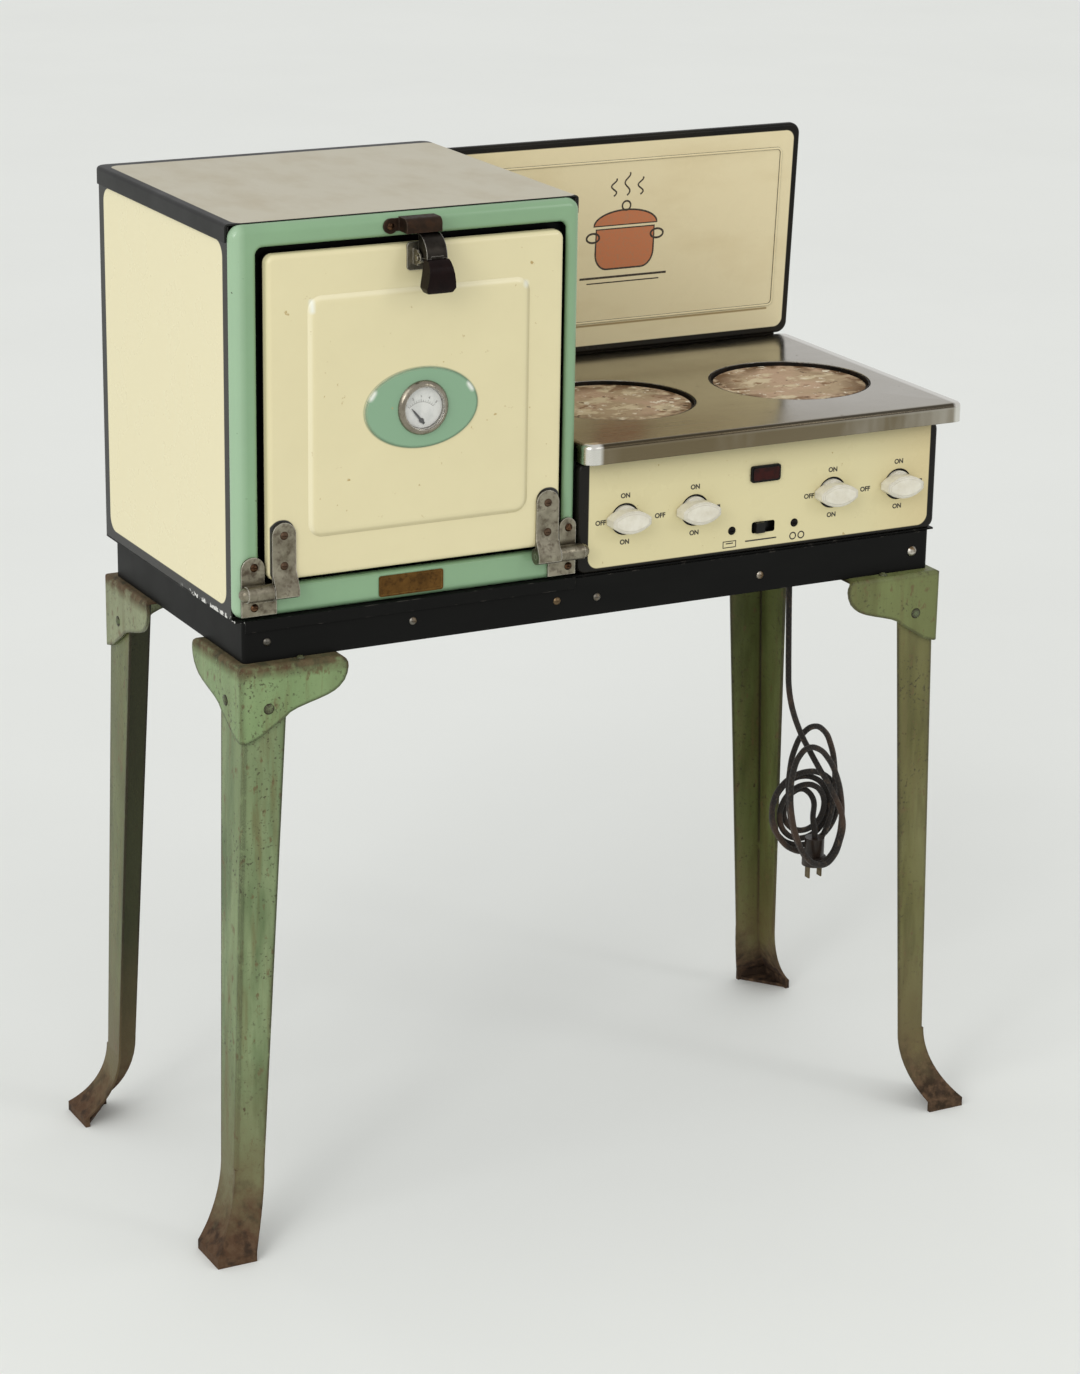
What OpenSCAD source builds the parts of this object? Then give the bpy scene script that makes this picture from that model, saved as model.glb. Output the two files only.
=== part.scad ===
// Toy electric oven and range on a leg stand, in mm.
// X runs to the right, Y to the back and Z up; the origin is on the floor under the middle of the stand.

/* [Stand] */
// Height of the body's underside above the floor
stand_h = 495; // [400:1:600]
// Height of the flared part of each foot
flare_h = 64; // [50:1:80]
// How far each foot flares outward
flare_out = 27; // [18:1:36]
// Outward lean of each leg over its straight length
leg_lean = 12.8; // [4:0.2:20]
// Front width of a leg at its top
leg_wide_x = 37; // [32:1:44]
// Side width of a leg at its top
leg_wide_y = 46; // [38:1:54]
// Thickness of the leg sheet
leg_t = 2; // [1.6:0.1:2.4]
// Reach of each corner bracket along the apron
bracket_reach = 92; // [80:1:110]
// Drop of each corner bracket below the apron
bracket_drop = 62; // [54:1:75]
// Thickness of the bracket sheet
bracket_t = 2.4; // [1.6:0.1:3]
// Height of the apron frame
apron_h = 33; // [28:1:42]

/* [Body] */
// Overall width of the body
body_w = 642; // [620:1:680]
// Depth of the body
body_d = 271.5; // [262:0.5:290]
// Thickness of the body sheet
sheet_t = 1.5; // [1:0.1:1.8]

/* [Oven] */
// Width of the oven front
oven_w = 296.4; // [292:0.2:304]
// Height of the oven front
oven_h = 307.5; // [300:0.5:330]
// Green border left of the door opening
border_left = 20.5; // [19:0.1:22]
// Green border right of the door opening
border_right = 11.9; // [11.5:0.1:13]
// Green border below the door opening
border_bottom = 25; // [24:0.1:30]
// Green border above the door opening
border_top = 17.5; // [16.5:0.1:20]
// Width of the raised field of the door
field_w = 190; // [170:1:200]
// Width of the green oval
oval_w = 97; // [85:0.5:110]
// Height of the green oval
oval_h = 63.5; // [52:0.5:75]
// Outside diameter of the gauge
gauge_d = 43.6; // [38:0.2:48]
// Radius of the hinge pins
pin_r = 2.2; // [1.8:0.1:2.6]

/* [Range] */
// Height of the control panel
panel_h = 93.4; // [88:0.2:104]
// Height of the hob rim
hob_h = 16.4; // [13:0.2:20]
// Hob overhang past the body's right side
hob_over = 17; // [8:0.5:22]
// Diameter of the openings for the hotplates
burner_d = 139; // [120:1:146]
// Distance of each hotplate from the middle of the hob
burner_dx = 86; // [80:1:92]
// Height of the backsplash
splash_h = 192; // [150:1:198]
// Forward lean of the backsplash in degrees
splash_lean = 3.4; // [0:0.1:6]

/* [Controls] */
// Length of a knob's bar handle
knob_l = 35; // [30:0.5:42]
// Diameter of a knob's skirt
knob_d = 23; // [20:0.2:32]
// Height of the knobs above the body's floor
knob_z = 42.5; // [40:0.5:44]
// Spacing of the two knobs on each side
knob_gap = 65; // [60:0.5:70]
// Width of the pilot window
pilot_w = 28; // [24:0.5:32]
// Travel of the selector button
selector_travel = 8; // [4:0.5:10]

/* [Lead] */
// Diameter of the lead
lead_d = 5.4; // [4.8:0.1:6]

/* [Hidden] */
$fn = 64;
fit = 0.05;        // radial clearance of pins and stems in their bores
gap = 0.3;         // clearance between seated pieces
big = 1000;        // longer than any piece

// heights and planes
base_t = 1.5;
floor_z = stand_h + apron_h + base_t;    // top of the base plate
front_y = 4.25 - body_d / 2;             // face of the oven front and of the control panel
back_y = front_y + body_d;
oven_x0 = -body_w / 2;
oven_x1 = oven_x0 + oven_w;
oven_cx = (oven_x0 + oven_x1) / 2;
oven_cz = floor_z + oven_h / 2;
range_x0 = oven_x1 + 2.6;
range_x1 = body_w / 2;
apron_x = body_w / 2 - 5.4;
apron_y = body_d / 2 - 2.35;
leg_x = body_w / 2 - 2.8;                // outer corner of each leg at its top
leg_y = body_d / 2 + 5.75;
flare_top = flare_h + 8;
foot_x = leg_x + leg_lean;
leg_r = 4;
shoulder_r = 4.4;
leg_top = stand_h - shoulder_r - 0.2;
lean_a = atan(leg_lean / (leg_top - flare_top));

// oven front and door
frame_r = 10;
frame_edge = 7;
frame_d = 8;
lip_edge = 4;
return_d = 10.7;
open_r = 6;
open_w = oven_w - border_left - border_right;
open_h = oven_h - border_bottom - border_top;
open_cx = oven_x0 + border_left + open_w / 2;
open_cz = floor_z + border_bottom + open_h / 2;
door_w = open_w - 11.4;
door_h = open_h - 10;
door_proud = 6;
door_y = front_y - door_proud;
door_d = 13.5;
door_r = 7;
door_edge = 4;
door_t = 1.2;
field_x = open_cx + 1.5;
field_z = open_cz - 1;
field_up = 2.6;
field_slope = 7;
field_y = door_y - field_up;
oval_y = field_y - 1.5;
liner_w = open_w - 35;
liner_h = open_h - 34;
liner_t = 1.2;
liner_y0 = front_y + 9.5;
liner_y1 = back_y - 18;
boss_w = 210;
boss_up = 6;
boss_y = liner_y0 + boss_up - 0.3;

// hinges
hinge_y = front_y - 7.5;
hinge_z = open_cz - open_h / 2 - 2.1;
knuckle_r = 6.6;
leaf_t = 2;
pin_bore = pin_r + fit;
knuckle_l = 20.2;
fixed_x0 = open_w / 2 + 14.5;             // outer end of the fixed knuckle, from the door's middle
fixed_x1 = fixed_x0 - 21.8;
door_x0 = fixed_x1 - 0.4;
door_x1 = door_x0 - knuckle_l;

// gauge
gauge_x = field_x + 1;
gauge_z = field_z;
gauge_r = gauge_d / 2;
dial_r = gauge_r - 5.6;
cup_r = dial_r + 1.2;
dial_y = oval_y + 0.8;
needle_r = 0.8;
needle_l = 13.5;
needle_a = 40;
needle_x = gauge_x - 1.7;
needle_z = gauge_z - 10;

// latch
latch_x = open_cx + 5.5;
latch_z = open_cz + 118;
latch_y = door_y - 9.5;
latch_r = 1.5;
latch_w = 17.4;
strap_r = 17.8;
strap_t = 1.6;
keeper_z = open_cz + 137;

// range
hob_x0 = range_x0;
hob_x1 = range_x1 + hob_over;
hob_y0 = front_y - 12.5;
hob_y1 = back_y + 5;
hob_z = floor_z + panel_h + gap;
hob_top = hob_z + hob_h;
hob_cx = (hob_x0 + hob_x1) / 2;
hob_cy = (hob_y0 + hob_y1) / 2;
burner_r = burner_d / 2;
burner_y = hob_cy - 16.5;
panel_cx = (range_x0 + range_x1) / 2 + 2.5;
knob_cz = floor_z + knob_z;
knob_in = 66;
knob_dx = [-knob_in - knob_gap, -knob_in, knob_in, knob_in + knob_gap];
hole_r = knob_d / 2 + 1.8;
stem_r = 3.5;
pilot_h = 14;
pilot_z = floor_z + 66.5;
selector_z = floor_z + 20.5;
selector_h = 9.6;
selector_b = 8;
selector_w = selector_b + selector_travel + 6;

// screws
screw_r = 1.6;
screw_hole = screw_r + fit;
head_r = 3.4;
// places on the apron's front: X, height from its middle, head radius
apron_screws = [[oven_x0 + 25.5, -0.9, head_r], [oven_cx + 2.9, -0.3, head_r], [oven_x1 - 16.5, -0.4, head_r],
    [range_x0 + 17.6, -1.7, head_r], [panel_cx - 2.5, -2.4, head_r], [range_x1 - 21.7, 0, 4.4]];

// lead: the route is chosen by hand in the plane of the bushing
lead_y = 20;
lead_dx = body_w / 2 - 321;              // the lead keeps its place from the body's right side
lead_x = 273 + lead_dx;
lead_r = lead_d / 2;
hank_x = 313;
hank_z = 218;
hank_top = 302;
hank_y = 22;
hank_t = 54;
plug_x = 312;
plug_r = 11;
plug_z0 = 172;
plug_z1 = 198;
lead_drop = stand_h - 495;                // the lead hangs from the body and follows its height
route = [[273, 529], [273, 500], [274, 460], [275, 420], [276, 390], [277, 364], [278, 348], [281, 332],
         [285, 319], [289, 309], [291, 303]];

// helpers

// places children in a plane that faces the front: their X stays, their Y becomes Z, their Z points at the viewer
module front(x, y, z) translate([x, y, z]) rotate([90, 0, 0]) children();

// rounded rectangle about the origin
module rrect(w, h, r) {
    square([w - 2 * r, h], center = true);
    square([w, h - 2 * r], center = true);
    for (x = [-1, 1], y = [-1, 1])
        translate([x * (w / 2 - r), y * (h / 2 - r)]) circle(r);
}

// sweeps a profile round a rounded rectangle; the profile's X is measured from the corner's centre
module rim(w, h, r) {
    for (k = [0:3]) {
        out = k % 2 == 0 ? w / 2 - r : h / 2 - r;
        half = k % 2 == 0 ? h / 2 - r : w / 2 - r;
        rotate([0, 0, 90 * k]) {
            translate([out, half, 0]) rotate([90, 0, 0]) linear_extrude(2 * half) children();
            translate([out, half, 0]) rotate_extrude(angle = 90) children();
        }
    }
}

// flat sheet with a rounded, turned down edge
module pan_profile(r, depth, edge, t) {
    translate([0, -t]) square([r - edge, t]);
    translate([r - edge, -edge]) intersection() {
        difference() {
            circle(edge);
            circle(edge - t);
        }
        square(edge);
    }
    translate([r - t, -depth]) square([t, depth - edge]);
}

// shallow tray with its flat face at height 0
module pan(w, h, r, depth, edge, t) {
    rim(w, h, r) pan_profile(r, depth, edge, t);
    translate([0, 0, -t / 2]) cube([w - 2 * r, h - 2 * r, t], center = true);
}

// raised ring profile that rises in a soft slope
module slope_profile(r, wide, up) {
    slope_r = (wide * wide + up * up) / (2 * up);
    square([r - wide, up]);
    intersection() {
        translate([r - wide, up - slope_r]) circle(slope_r, $fn = 360);
        translate([r - wide, 0]) square([wide, up]);
    }
}

module ellipse(w, h, steps = 60)
    polygon([for (k = [0:steps - 1]) [w / 2 * cos(360 * k / steps), h / 2 * sin(360 * k / steps)]]);

// copies of the corner at plus X and plus Y
module corner(sx, sy) mirror([sx < 0 ? 1 : 0, 0, 0]) mirror([0, sy < 0 ? 1 : 0, 0]) children();

// pan head screw whose head sits on the plane at height 0
module screw(long, r = head_r) {
    head_h = 0.55 * r;
    dome_r = (r * r + head_h * head_h) / (2 * head_h);
    difference() {
        intersection() {
            translate([0, 0, head_h - dome_r]) sphere(dome_r);
            cylinder(r = r, h = head_h);
        }
        translate([0, 0, head_h]) cube([3 * r, 0.8, head_h], center = true);
    }
    translate([0, 0, -long]) cylinder(r = screw_r, h = long + head_h / 3);
}

// stand

module apron_frame() color("#1e1d1b") {
    lip = 12;
    difference() {
        translate([0, 0, stand_h]) linear_extrude(apron_h) rrect(2 * apron_x, 2 * apron_y, 4);
        translate([0, 0, stand_h + sheet_t]) linear_extrude(apron_h - 2 * sheet_t)
            rrect(2 * (apron_x - sheet_t), 2 * (apron_y - sheet_t), 4 - sheet_t);
        translate([0, 0, stand_h - 1]) linear_extrude(apron_h + 2)
            rrect(2 * (apron_x - lip), 2 * (apron_y - lip), 2);
        for (p = apron_screws)
            front(p[0], 0, stand_h + apron_h / 2 + p[1]) cylinder(r = screw_hole, h = big);
    }
}

// a leg's outline seen square on, from its free edge to its outer face: straight, then a flare and an upright lip
lip_h = 8;
lip_t = 4;
pad_t = 3;
half_a = atan(flare_out / flare_h);
flare_r = flare_h / sin(2 * half_a);
module leg_outline(top_out, foot_out, top_edge, foot_edge, low_edge, cut, end) {
    edge_a = 2 * atan((low_edge - foot_edge) / (flare_top - lip_h));
    edge_r = edge_a == 0 ? 0 : (flare_top - lip_h) / sin(edge_a);
    difference() {
        polygon(concat([[top_edge, leg_top], [top_out - cut, leg_top], [foot_out - cut, flare_top],
            [foot_out + flare_out - end, flare_top], [foot_out + flare_out - end, -end], [low_edge, -end]],
            [for (k = [8:-1:0]) [foot_edge + edge_r * (1 - cos(edge_a * k / 8)),
                edge_r == 0 ? lip_h + (flare_top - lip_h) * (1 - k / 8) : flare_top - edge_r * sin(edge_a * k / 8)]]));
        intersection() {
            translate([foot_out + flare_r, flare_top]) circle(flare_r + cut, $fn = 180);
            translate([foot_out - 10, 0]) square([2 * flare_r, flare_top]);
        }
    }
}

// outlines along X and along Y; cut and end take off the sheet and the lip for the inside
module outline_x(cut, end)
    leg_outline(leg_x, foot_x, cut > 0 ? 0 : leg_x - leg_wide_x, cut > 0 ? 0 : foot_x - 26,
        cut > 0 ? 0 : foot_x + flare_out - 34, cut, end);
module outline_y(cut, end)
    leg_outline(leg_y, leg_y, cut > 0 ? 0 : leg_y - leg_wide_y, cut > 0 ? 0 : leg_y - 29,
        cut > 0 ? 0 : leg_y + flare_out - 42, cut, end);

module leg_block(cut, end) intersection() {
    translate([0, big, 0]) rotate([90, 0, 0]) linear_extrude(big) outline_x(cut, end);
    rotate([90, 0, 90]) linear_extrude(big) outline_y(cut, end);
}

// rivet places on a leg: along X and down from the apron, then along Y and down
rivet_x = leg_x - 19.2;
rivet_y = leg_y - 27.5;
rivet_zx = stand_h - 35.5;
rivet_zy = stand_h - 34;
rivet_r = 2;

module rivet_holes() {
    translate([rivet_x, 0, rivet_zx]) rotate([-90, 0, 0]) cylinder(r = rivet_r + fit, h = big);
    translate([0, rivet_y, rivet_zy]) rotate([0, 90, 0]) cylinder(r = rivet_r + fit, h = big);
}

// pad that ties the two sides together at the floor
module foot_pad() {
    out_x = foot_x + flare_out - 1;
    out_y = leg_y + flare_out - 1;
    linear_extrude(pad_t) polygon([[out_x - 33, out_y], [out_x, out_y], [out_x, out_y - 41]]);
}

module leg(sx, sy) color("#7c8c68") corner(sx, sy) difference() {
    union() {
        difference() {
            leg_block(0, 0);
            leg_block(leg_t, lip_t);
        }
        foot_pad();
    }
    // rounded outer edge along the straight part
    translate([leg_x, leg_y, leg_top]) rotate([0, -lean_a, 0])
        translate([-leg_r, -leg_r, flare_top - leg_top - 2]) linear_extrude(leg_top - flare_top + 8) difference() {
            square(leg_r + 2);
            circle(leg_r + 0.15);    // crosses the faces at a slight angle, so none ends in a sliver
        }
    rivet_holes();
}

bracket_x = leg_x + bracket_drop * tan(lean_a) + 0.3 + bracket_t;
bracket_y = leg_y + 0.3 + bracket_t;
ledge = 24;
bolt_in = 54;
bolt_y = 7.2;

// one side of a bracket, in parts of its reach and drop: a round lobe, then an ogee that falls to the leg
bracket_line = [[-0.913, 0], [-0.951, -0.015], [-0.978, -0.048], [-0.996, -0.097], [-1, -0.153], [-0.989, -0.242],
    [-0.962, -0.331], [-0.917, -0.403], [-0.87, -0.452], [-0.804, -0.494], [-0.712, -0.535], [-0.62, -0.571],
    [-0.526, -0.611], [-0.457, -0.655], [-0.413, -0.71], [-0.359, -0.765], [-0.285, -0.835], [-0.196, -0.919],
    [-0.127, -0.971]];
module bracket_side(reach)
    polygon(concat([[1, 1], [-0.913 * reach, 1]],
        [for (p = bracket_line) [p[0] * reach, p[1] * bracket_drop]], [[-leg_r, -bracket_drop], [1, -bracket_drop]]));

// block in from its outer faces by t, with a round shoulder on top and a round corner
module bracket_block(t) intersection() {
    translate([-130, 0, 0]) rotate([90, 0, 90]) linear_extrude(131) block_face(t, shoulder_r);
    translate([0, 1, 0]) rotate([90, 0, 0]) linear_extrude(131) block_face(t, shoulder_r);
    translate([0, 0, -130]) linear_extrude(131) block_face(t, leg_r);
}
module block_face(t, r) translate([-t, -t]) {
    translate([t - r, t - r]) circle(r - t);
    translate([-130, -130]) square([130, 130 - r + t]);
    translate([-130, -130]) square([130 - r + t, 130]);
}

module ledge_part(reach) intersection() {
    bracket_side(reach);
    translate([-reach, -shoulder_r]) square([reach + 1, shoulder_r + 1]);
}

module bracket(sx, sy) color("#7c8c68") corner(sx, sy) difference() {
    translate([bracket_x, bracket_y, stand_h]) intersection() {
        difference() {
            bracket_block(0);
            bracket_block(bracket_t);
        }
        union() {
            rotate([90, 0, 0]) linear_extrude(leg_r) bracket_side(bracket_reach);
            rotate([90, 0, 0]) linear_extrude(ledge) ledge_part(bracket_reach);
            translate([-leg_r, 0, 0]) rotate([90, 0, 90]) linear_extrude(leg_r) bracket_side(bracket_reach + 5);
            translate([-ledge, 0, 0]) rotate([90, 0, 90]) linear_extrude(ledge) ledge_part(bracket_reach + 5);
        }
    }
    rivet_holes();
    translate([bracket_x - bolt_in, bracket_y - bolt_y, stand_h - bracket_t - 1]) cylinder(r = 2.05, h = 9);
}

module bracket_bolts() color("#7a6a55")
    for (sx = [-1, 1], sy = [-1, 1]) corner(sx, sy)
        translate([bracket_x - bolt_in, bracket_y - bolt_y, stand_h]) {
            intersection() {
                translate([0, 0, -1.6]) sphere(4);
                cylinder(r = 3.5, h = 3);
            }
            translate([0, 0, -bracket_t - 4]) cylinder(r = 2, h = bracket_t + 5);
            translate([0, 0, -bracket_t - 3]) cylinder(r = 3.2, h = 3, $fn = 6);
        }

module rivet(grip) {
    intersection() {
        translate([0, 0, -6.1]) sphere(7.6);
        cylinder(r = 4.5, h = 2);
    }
    translate([0, 0, -grip - 1.4]) cylinder(r = rivet_r, h = grip + 2);
    translate([0, 0, -grip - 1.4]) cylinder(r = 3.4, h = 1);
}

module leg_rivets() color("#7c8c68")
    for (sx = [-1, 1], sy = [-1, 1]) corner(sx, sy) {
        translate([rivet_x, bracket_y, rivet_zx]) rotate([-90, 0, 0]) rivet(bracket_t + leg_t + 0.3);
        translate([bracket_x, rivet_y, rivet_zy]) rotate([0, 90, 0])
            rivet(bracket_x - leg_x - 34 * tan(lean_a) + leg_t + 0.2);
    }

// body

module base_plate() color("#1e1d1b") {
    over = 5;
    sill_x1 = oven_x1 - 0.4;
    sill_x0 = oven_x0 + 7;
    difference() {
        union() {
            translate([oven_x0, front_y + 0.3, floor_z - base_t]) cube([body_w, body_d - 0.3, base_t]);
            translate([sill_x0, -apron_y - sheet_t, floor_z - base_t])
                cube([sill_x1 - sill_x0, apron_y + sheet_t + front_y + over, base_t]);
            translate([sill_x0, -apron_y - sheet_t, floor_z - 9.5])
                cube([sill_x1 - sill_x0, sheet_t, 9.5]);
        }
        translate([lead_x, lead_y, floor_z - 5]) cylinder(r = bushing_r + fit, h = 10);
    }
}

shell_h = oven_h - 1.1;
module oven_shell() color("#1e1d1b") {
    y0 = front_y + frame_d + 0.2;
    difference() {
        translate([oven_x0, y0, floor_z]) cube([oven_w, back_y - y0, shell_h]);
        translate([oven_x0 + sheet_t, y0 - 1, floor_z + sheet_t]) cube([oven_w - 2 * sheet_t, body_d + 2, oven_h]);
    }
}

module oven_back() color("#1e1d1b") {
    w = oven_w - 2 * sheet_t - 2 * gap;
    h = shell_h - sheet_t - 2 * gap;
    slot_l = 110;
    slot_h = 4;
    front(oven_cx, back_y - 0.2, floor_z + sheet_t + gap + h / 2) difference() {
        linear_extrude(1.3) square([w, h], center = true);
        for (x = [-1, 1], k = [0:5])
            translate([x * 68, h / 2 - 40 - k * 10, -1]) linear_extrude(4) rrect(slot_l, slot_h, slot_h / 2 - 0.2);
    }
}

lid_z = floor_z + oven_h + 1;
module oven_lid() color("#e2dab5") {
    over = 2;
    y0 = front_y + frame_d + 0.2;
    y1 = back_y + 7;
    deep = 14;
    long = 2 * body_d;
    intersection() {
        translate([oven_cx, y1 - long / 2, lid_z]) pan(oven_w + 2 * over, long, 10, deep, 3, sheet_t);
        translate([oven_x0 - big / 2, y0, 0]) cube([big, big, 2 * big]);
    }
}

module frame_lip() {
    r = open_r + lip_edge;
    translate([open_r, -return_d]) square([sheet_t, return_d - lip_edge]);
    translate([r, -lip_edge]) intersection() {
        difference() {
            circle(lip_edge);
            circle(lip_edge - sheet_t);
        }
        translate([-lip_edge, 0]) square(lip_edge);
    }
}

// screw places on the oven front, from the door's middle and the body's floor
function fixed_leaf_x(s) = s < 0 ? -open_w / 2 - 5.2 : open_w / 2 + 4.8;
leaf_screw_z = [42.1, 9.9];

module oven_front_frame() color("#86ab86") difference() {
    union() {
        front(oven_cx, front_y, oven_cz) difference() {
            pan(oven_w, oven_h, frame_r, frame_d, frame_edge, sheet_t);
            translate([open_cx - oven_cx, open_cz - oven_cz, -2 * frame_d]) linear_extrude(3 * frame_d)
                rrect(open_w + 2 * lip_edge, open_h + 2 * lip_edge, open_r + lip_edge);
        }
        front(open_cx, front_y, open_cz) rim(open_w + 2 * lip_edge, open_h + 2 * lip_edge, open_r + lip_edge)
            frame_lip();
    }
    for (s = [-1, 1], z = leaf_screw_z)
        front(open_cx + fixed_leaf_x(s), front_y + 20, floor_z + z) cylinder(r = screw_hole, h = 40);
    front(latch_x - 27, front_y + 20, keeper_z + 4) cylinder(r = screw_hole, h = 40);
}

module nameplate() color("#6a4a22")
    front(open_cx - 2.5, front_y - 0.05, floor_z + 13) difference() {
        linear_extrude(0.9) rrect(56, 17, 2);
        translate([0, 0, 0.6]) linear_extrude(1) rrect(53, 14, 1);
    }

module oven_liner() color("#5a5a58") {
    h = liner_h;
    difference() {
        union() {
            translate([open_cx - liner_w / 2, liner_y0, open_cz - h / 2]) cube([liner_w, liner_y1 - liner_y0, h]);
            front(open_cx, liner_y0 + liner_t, open_cz) linear_extrude(liner_t)
                rrect(open_w - 0.6, open_h - 0.6, open_r - gap);
        }
        translate([open_cx - liner_w / 2 + liner_t, liner_y0 - 1, open_cz - h / 2 + liner_t])
            cube([liner_w - 2 * liner_t, liner_y1 - liner_y0 + 1 - liner_t, h - 2 * liner_t]);
        for (x = terminal_x)
            front(open_cx + x, liner_y1 + 5, element_z) cylinder(r = rod_r + 0.2, h = 10);
    }
    for (z = rack_z, s = [-1, 1])
        translate([open_cx + s * (liner_w / 2 - liner_t / 2 - shelf_w / 2), (liner_y0 + liner_y1) / 2 + 5, z - rack_r - gap - shelf_t / 2])
            cube([shelf_w + liner_t, liner_y1 - liner_y0 - 16, shelf_t], center = true);
}

shelf_w = 7;
shelf_t = 1.2;
rack_r = 2;
rack_z = [open_cz + 44, open_cz - 52];
rack_travel = 15;
rack_w = liner_w - 2 * liner_t - 3;
rack_y0 = boss_y + 0.8 + rack_travel;
rack_y1 = liner_y1 - liner_t - 0.5;

module rod(a, r, long) translate(a) rotate([0, 90, 0]) cylinder(r = r, h = long);

module oven_rack(z) color("#8d8f90") {
    x0 = open_cx - rack_w / 2;
    wires = 9;
    for (y = [rack_y0 + rack_r, (rack_y0 + rack_y1) / 2, rack_y1 - rack_r])
        rod([x0 + 1, y, z], rack_r - 0.2, rack_w - 2);
    for (x = [x0 + rack_r, x0 + rack_w - rack_r])
        translate([x, rack_y0 + 1, z]) rotate([-90, 0, 0]) cylinder(r = rack_r, h = rack_y1 - rack_y0 - 2);
    for (k = [1:wires])
        translate([x0 + rack_w * k / (wires + 1), rack_y0 + 1.2, z + 1.1]) rotate([-90, 0, 0])
            cylinder(r = 1.2, h = rack_y1 - rack_y0 - 2.4);
}

rod_r = 3;
terminal_r = 5;
coil_r = liner_w / 11.45;                 // half the spacing of the element's runs
terminal_x = [-coil_r, coil_r];
element_z = open_cz - liner_h / 2 + liner_t + 12;
module oven_element() color("#3a3836") {
    y0 = liner_y0 + 40;
    y1 = liner_y1 - 30;
    for (k = [-3, -1, 1, 3])
        translate([open_cx + k * coil_r, y0, element_z]) rotate([-90, 0, 0])
            cylinder(r = rod_r, h = (abs(k) < 2 ? liner_y1 + 8 : y1) - y0, $fn = 24);
    for (s = [-1, 1]) {
        translate([open_cx + s * 2 * coil_r, y0, element_z]) rotate([0, 0, 180]) rotate_extrude(angle = 180)
            translate([coil_r, 0]) circle(rod_r, $fn = 24);
        translate([open_cx + s * 3 * coil_r, y1, element_z]) sphere(rod_r, $fn = 24);
        translate([open_cx + s * coil_r, liner_y1 + 1, element_z]) rotate([-90, 0, 0]) cylinder(r = terminal_r, h = 8);
    }
    for (x = [-3 * coil_r, coil_r + 4])
        rod([open_cx + x, y1, element_z], rod_r, 2 * coil_r - 4);
    for (y = [y0 + 20, y1 - 20])
        translate([open_cx - 3.3 * coil_r, y, element_z - 12 + 0.1]) cube([6.6 * coil_r, 3, 12 - 0.5]);
}

// door

module door_panel() color("#d9d1a8") difference() {
    union() {
        front(open_cx, door_y, open_cz) pan(door_w, door_h, door_r, door_d, door_edge, door_t);
        front(field_x, door_y + 0.2, field_z) {
            rim(field_w, field_w, 12) slope_profile(12, field_slope, field_up + 0.2);
            linear_extrude(field_up + 0.2) square(field_w - 24, center = true);
        }
        for (step = [[0, 0, 0.8], [-1.2, 0, 1.2], [-3, 0, 1.5]])
            front(field_x, field_y + 0.1, field_z) linear_extrude(step[2] + 0.1)
                ellipse(oval_w + step[0], oval_h + step[0]);
    }
    front(gauge_x, door_y + 20, gauge_z) cylinder(r = cup_r + 0.1, h = 60);
    for (s = [-1, 1], z = door_leaf_z)
        front(open_cx + s * door_leaf_x, door_y + 5, hinge_z + z) cylinder(r = screw_hole, h = 12);
    for (z = [-7, 7]) front(latch_x, door_y + 5, latch_z + z) cylinder(r = screw_hole, h = 12);
}

module door_liner() color("#5a5a58") {
    w = door_w - 2;
    h = door_h - 2;
    y = door_y + door_d + 0.2;
    difference() {
        union() {
            front(open_cx, y + 1.4, open_cz) linear_extrude(1.4) rrect(w, h, door_r - 1);
            translate([open_cx, boss_y, open_cz]) rotate([-90, 0, 0])
                pan(boss_w, boss_w, 12, boss_y - y, 4, 1.2);
        }
        front(open_cx, y + 1.5, open_cz) linear_extrude(3) rrect(boss_w - 3, boss_w - 3, 10.5);
        front(gauge_x, y + 20, gauge_z) cylinder(r = probe_r + 0.3, h = 40);
    }
}

probe_r = 2.4;
module gauge_case() color("#b9b6ac") front(gauge_x, oval_y, gauge_z) {
    up = 4;
    bore = dial_r + 0.2;
    dome_r = ((gauge_r - bore) * (gauge_r - bore) + up * up) / (2 * up);
    rotate_extrude() {
        difference() {
            intersection() {
                translate([bore, up - dome_r]) circle(dome_r, $fn = 180);
                translate([bore, 0]) square([gauge_r - bore, up]);
            }
            translate([0, up - 1.4]) square([bore + 0.8, 3]);
        }
        translate([bore, -6]) square([cup_r - bore, 7]);
        translate([needle_r, -2.6]) square([cup_r - needle_r, 1]);
    }
    difference() {
        translate([0, 0, oval_y - boss_y - 8]) cylinder(r = probe_r, h = boss_y - oval_y + 6);
        translate([needle_x - gauge_x, needle_z - gauge_z, -8]) cylinder(r = needle_r + 1, h = 20);
    }
}

module gauge_dial() color("#c8b48c") front(gauge_x, dial_y, gauge_z) difference() {
    cylinder(r = dial_r, h = 0.8);
    translate([needle_x - gauge_x, needle_z - gauge_z, -1]) cylinder(r = needle_r + fit, h = 3);
}

module gauge_needle() color("#2a2622") front(needle_x, dial_y, needle_z) {
    translate([0, 0, 1.1]) cylinder(r = 2, h = 0.8);
    translate([0, 0, 0]) cylinder(r = needle_r, h = 1.2);
    rotate([0, 0, needle_a]) translate([0, 0, 1.2]) linear_extrude(0.5)
        polygon([[-1, -3.5], [1, -3.5], [0.8, 8.5], [0, needle_l], [-0.8, 8.5]]);
}

module gauge_glass() color("#dfe6e6") front(gauge_x, oval_y - 2.7, gauge_z)
    cylinder(r = dial_r + 0.9, h = 0.8);

// hinges, drawn about the door's middle line for the left side

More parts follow.
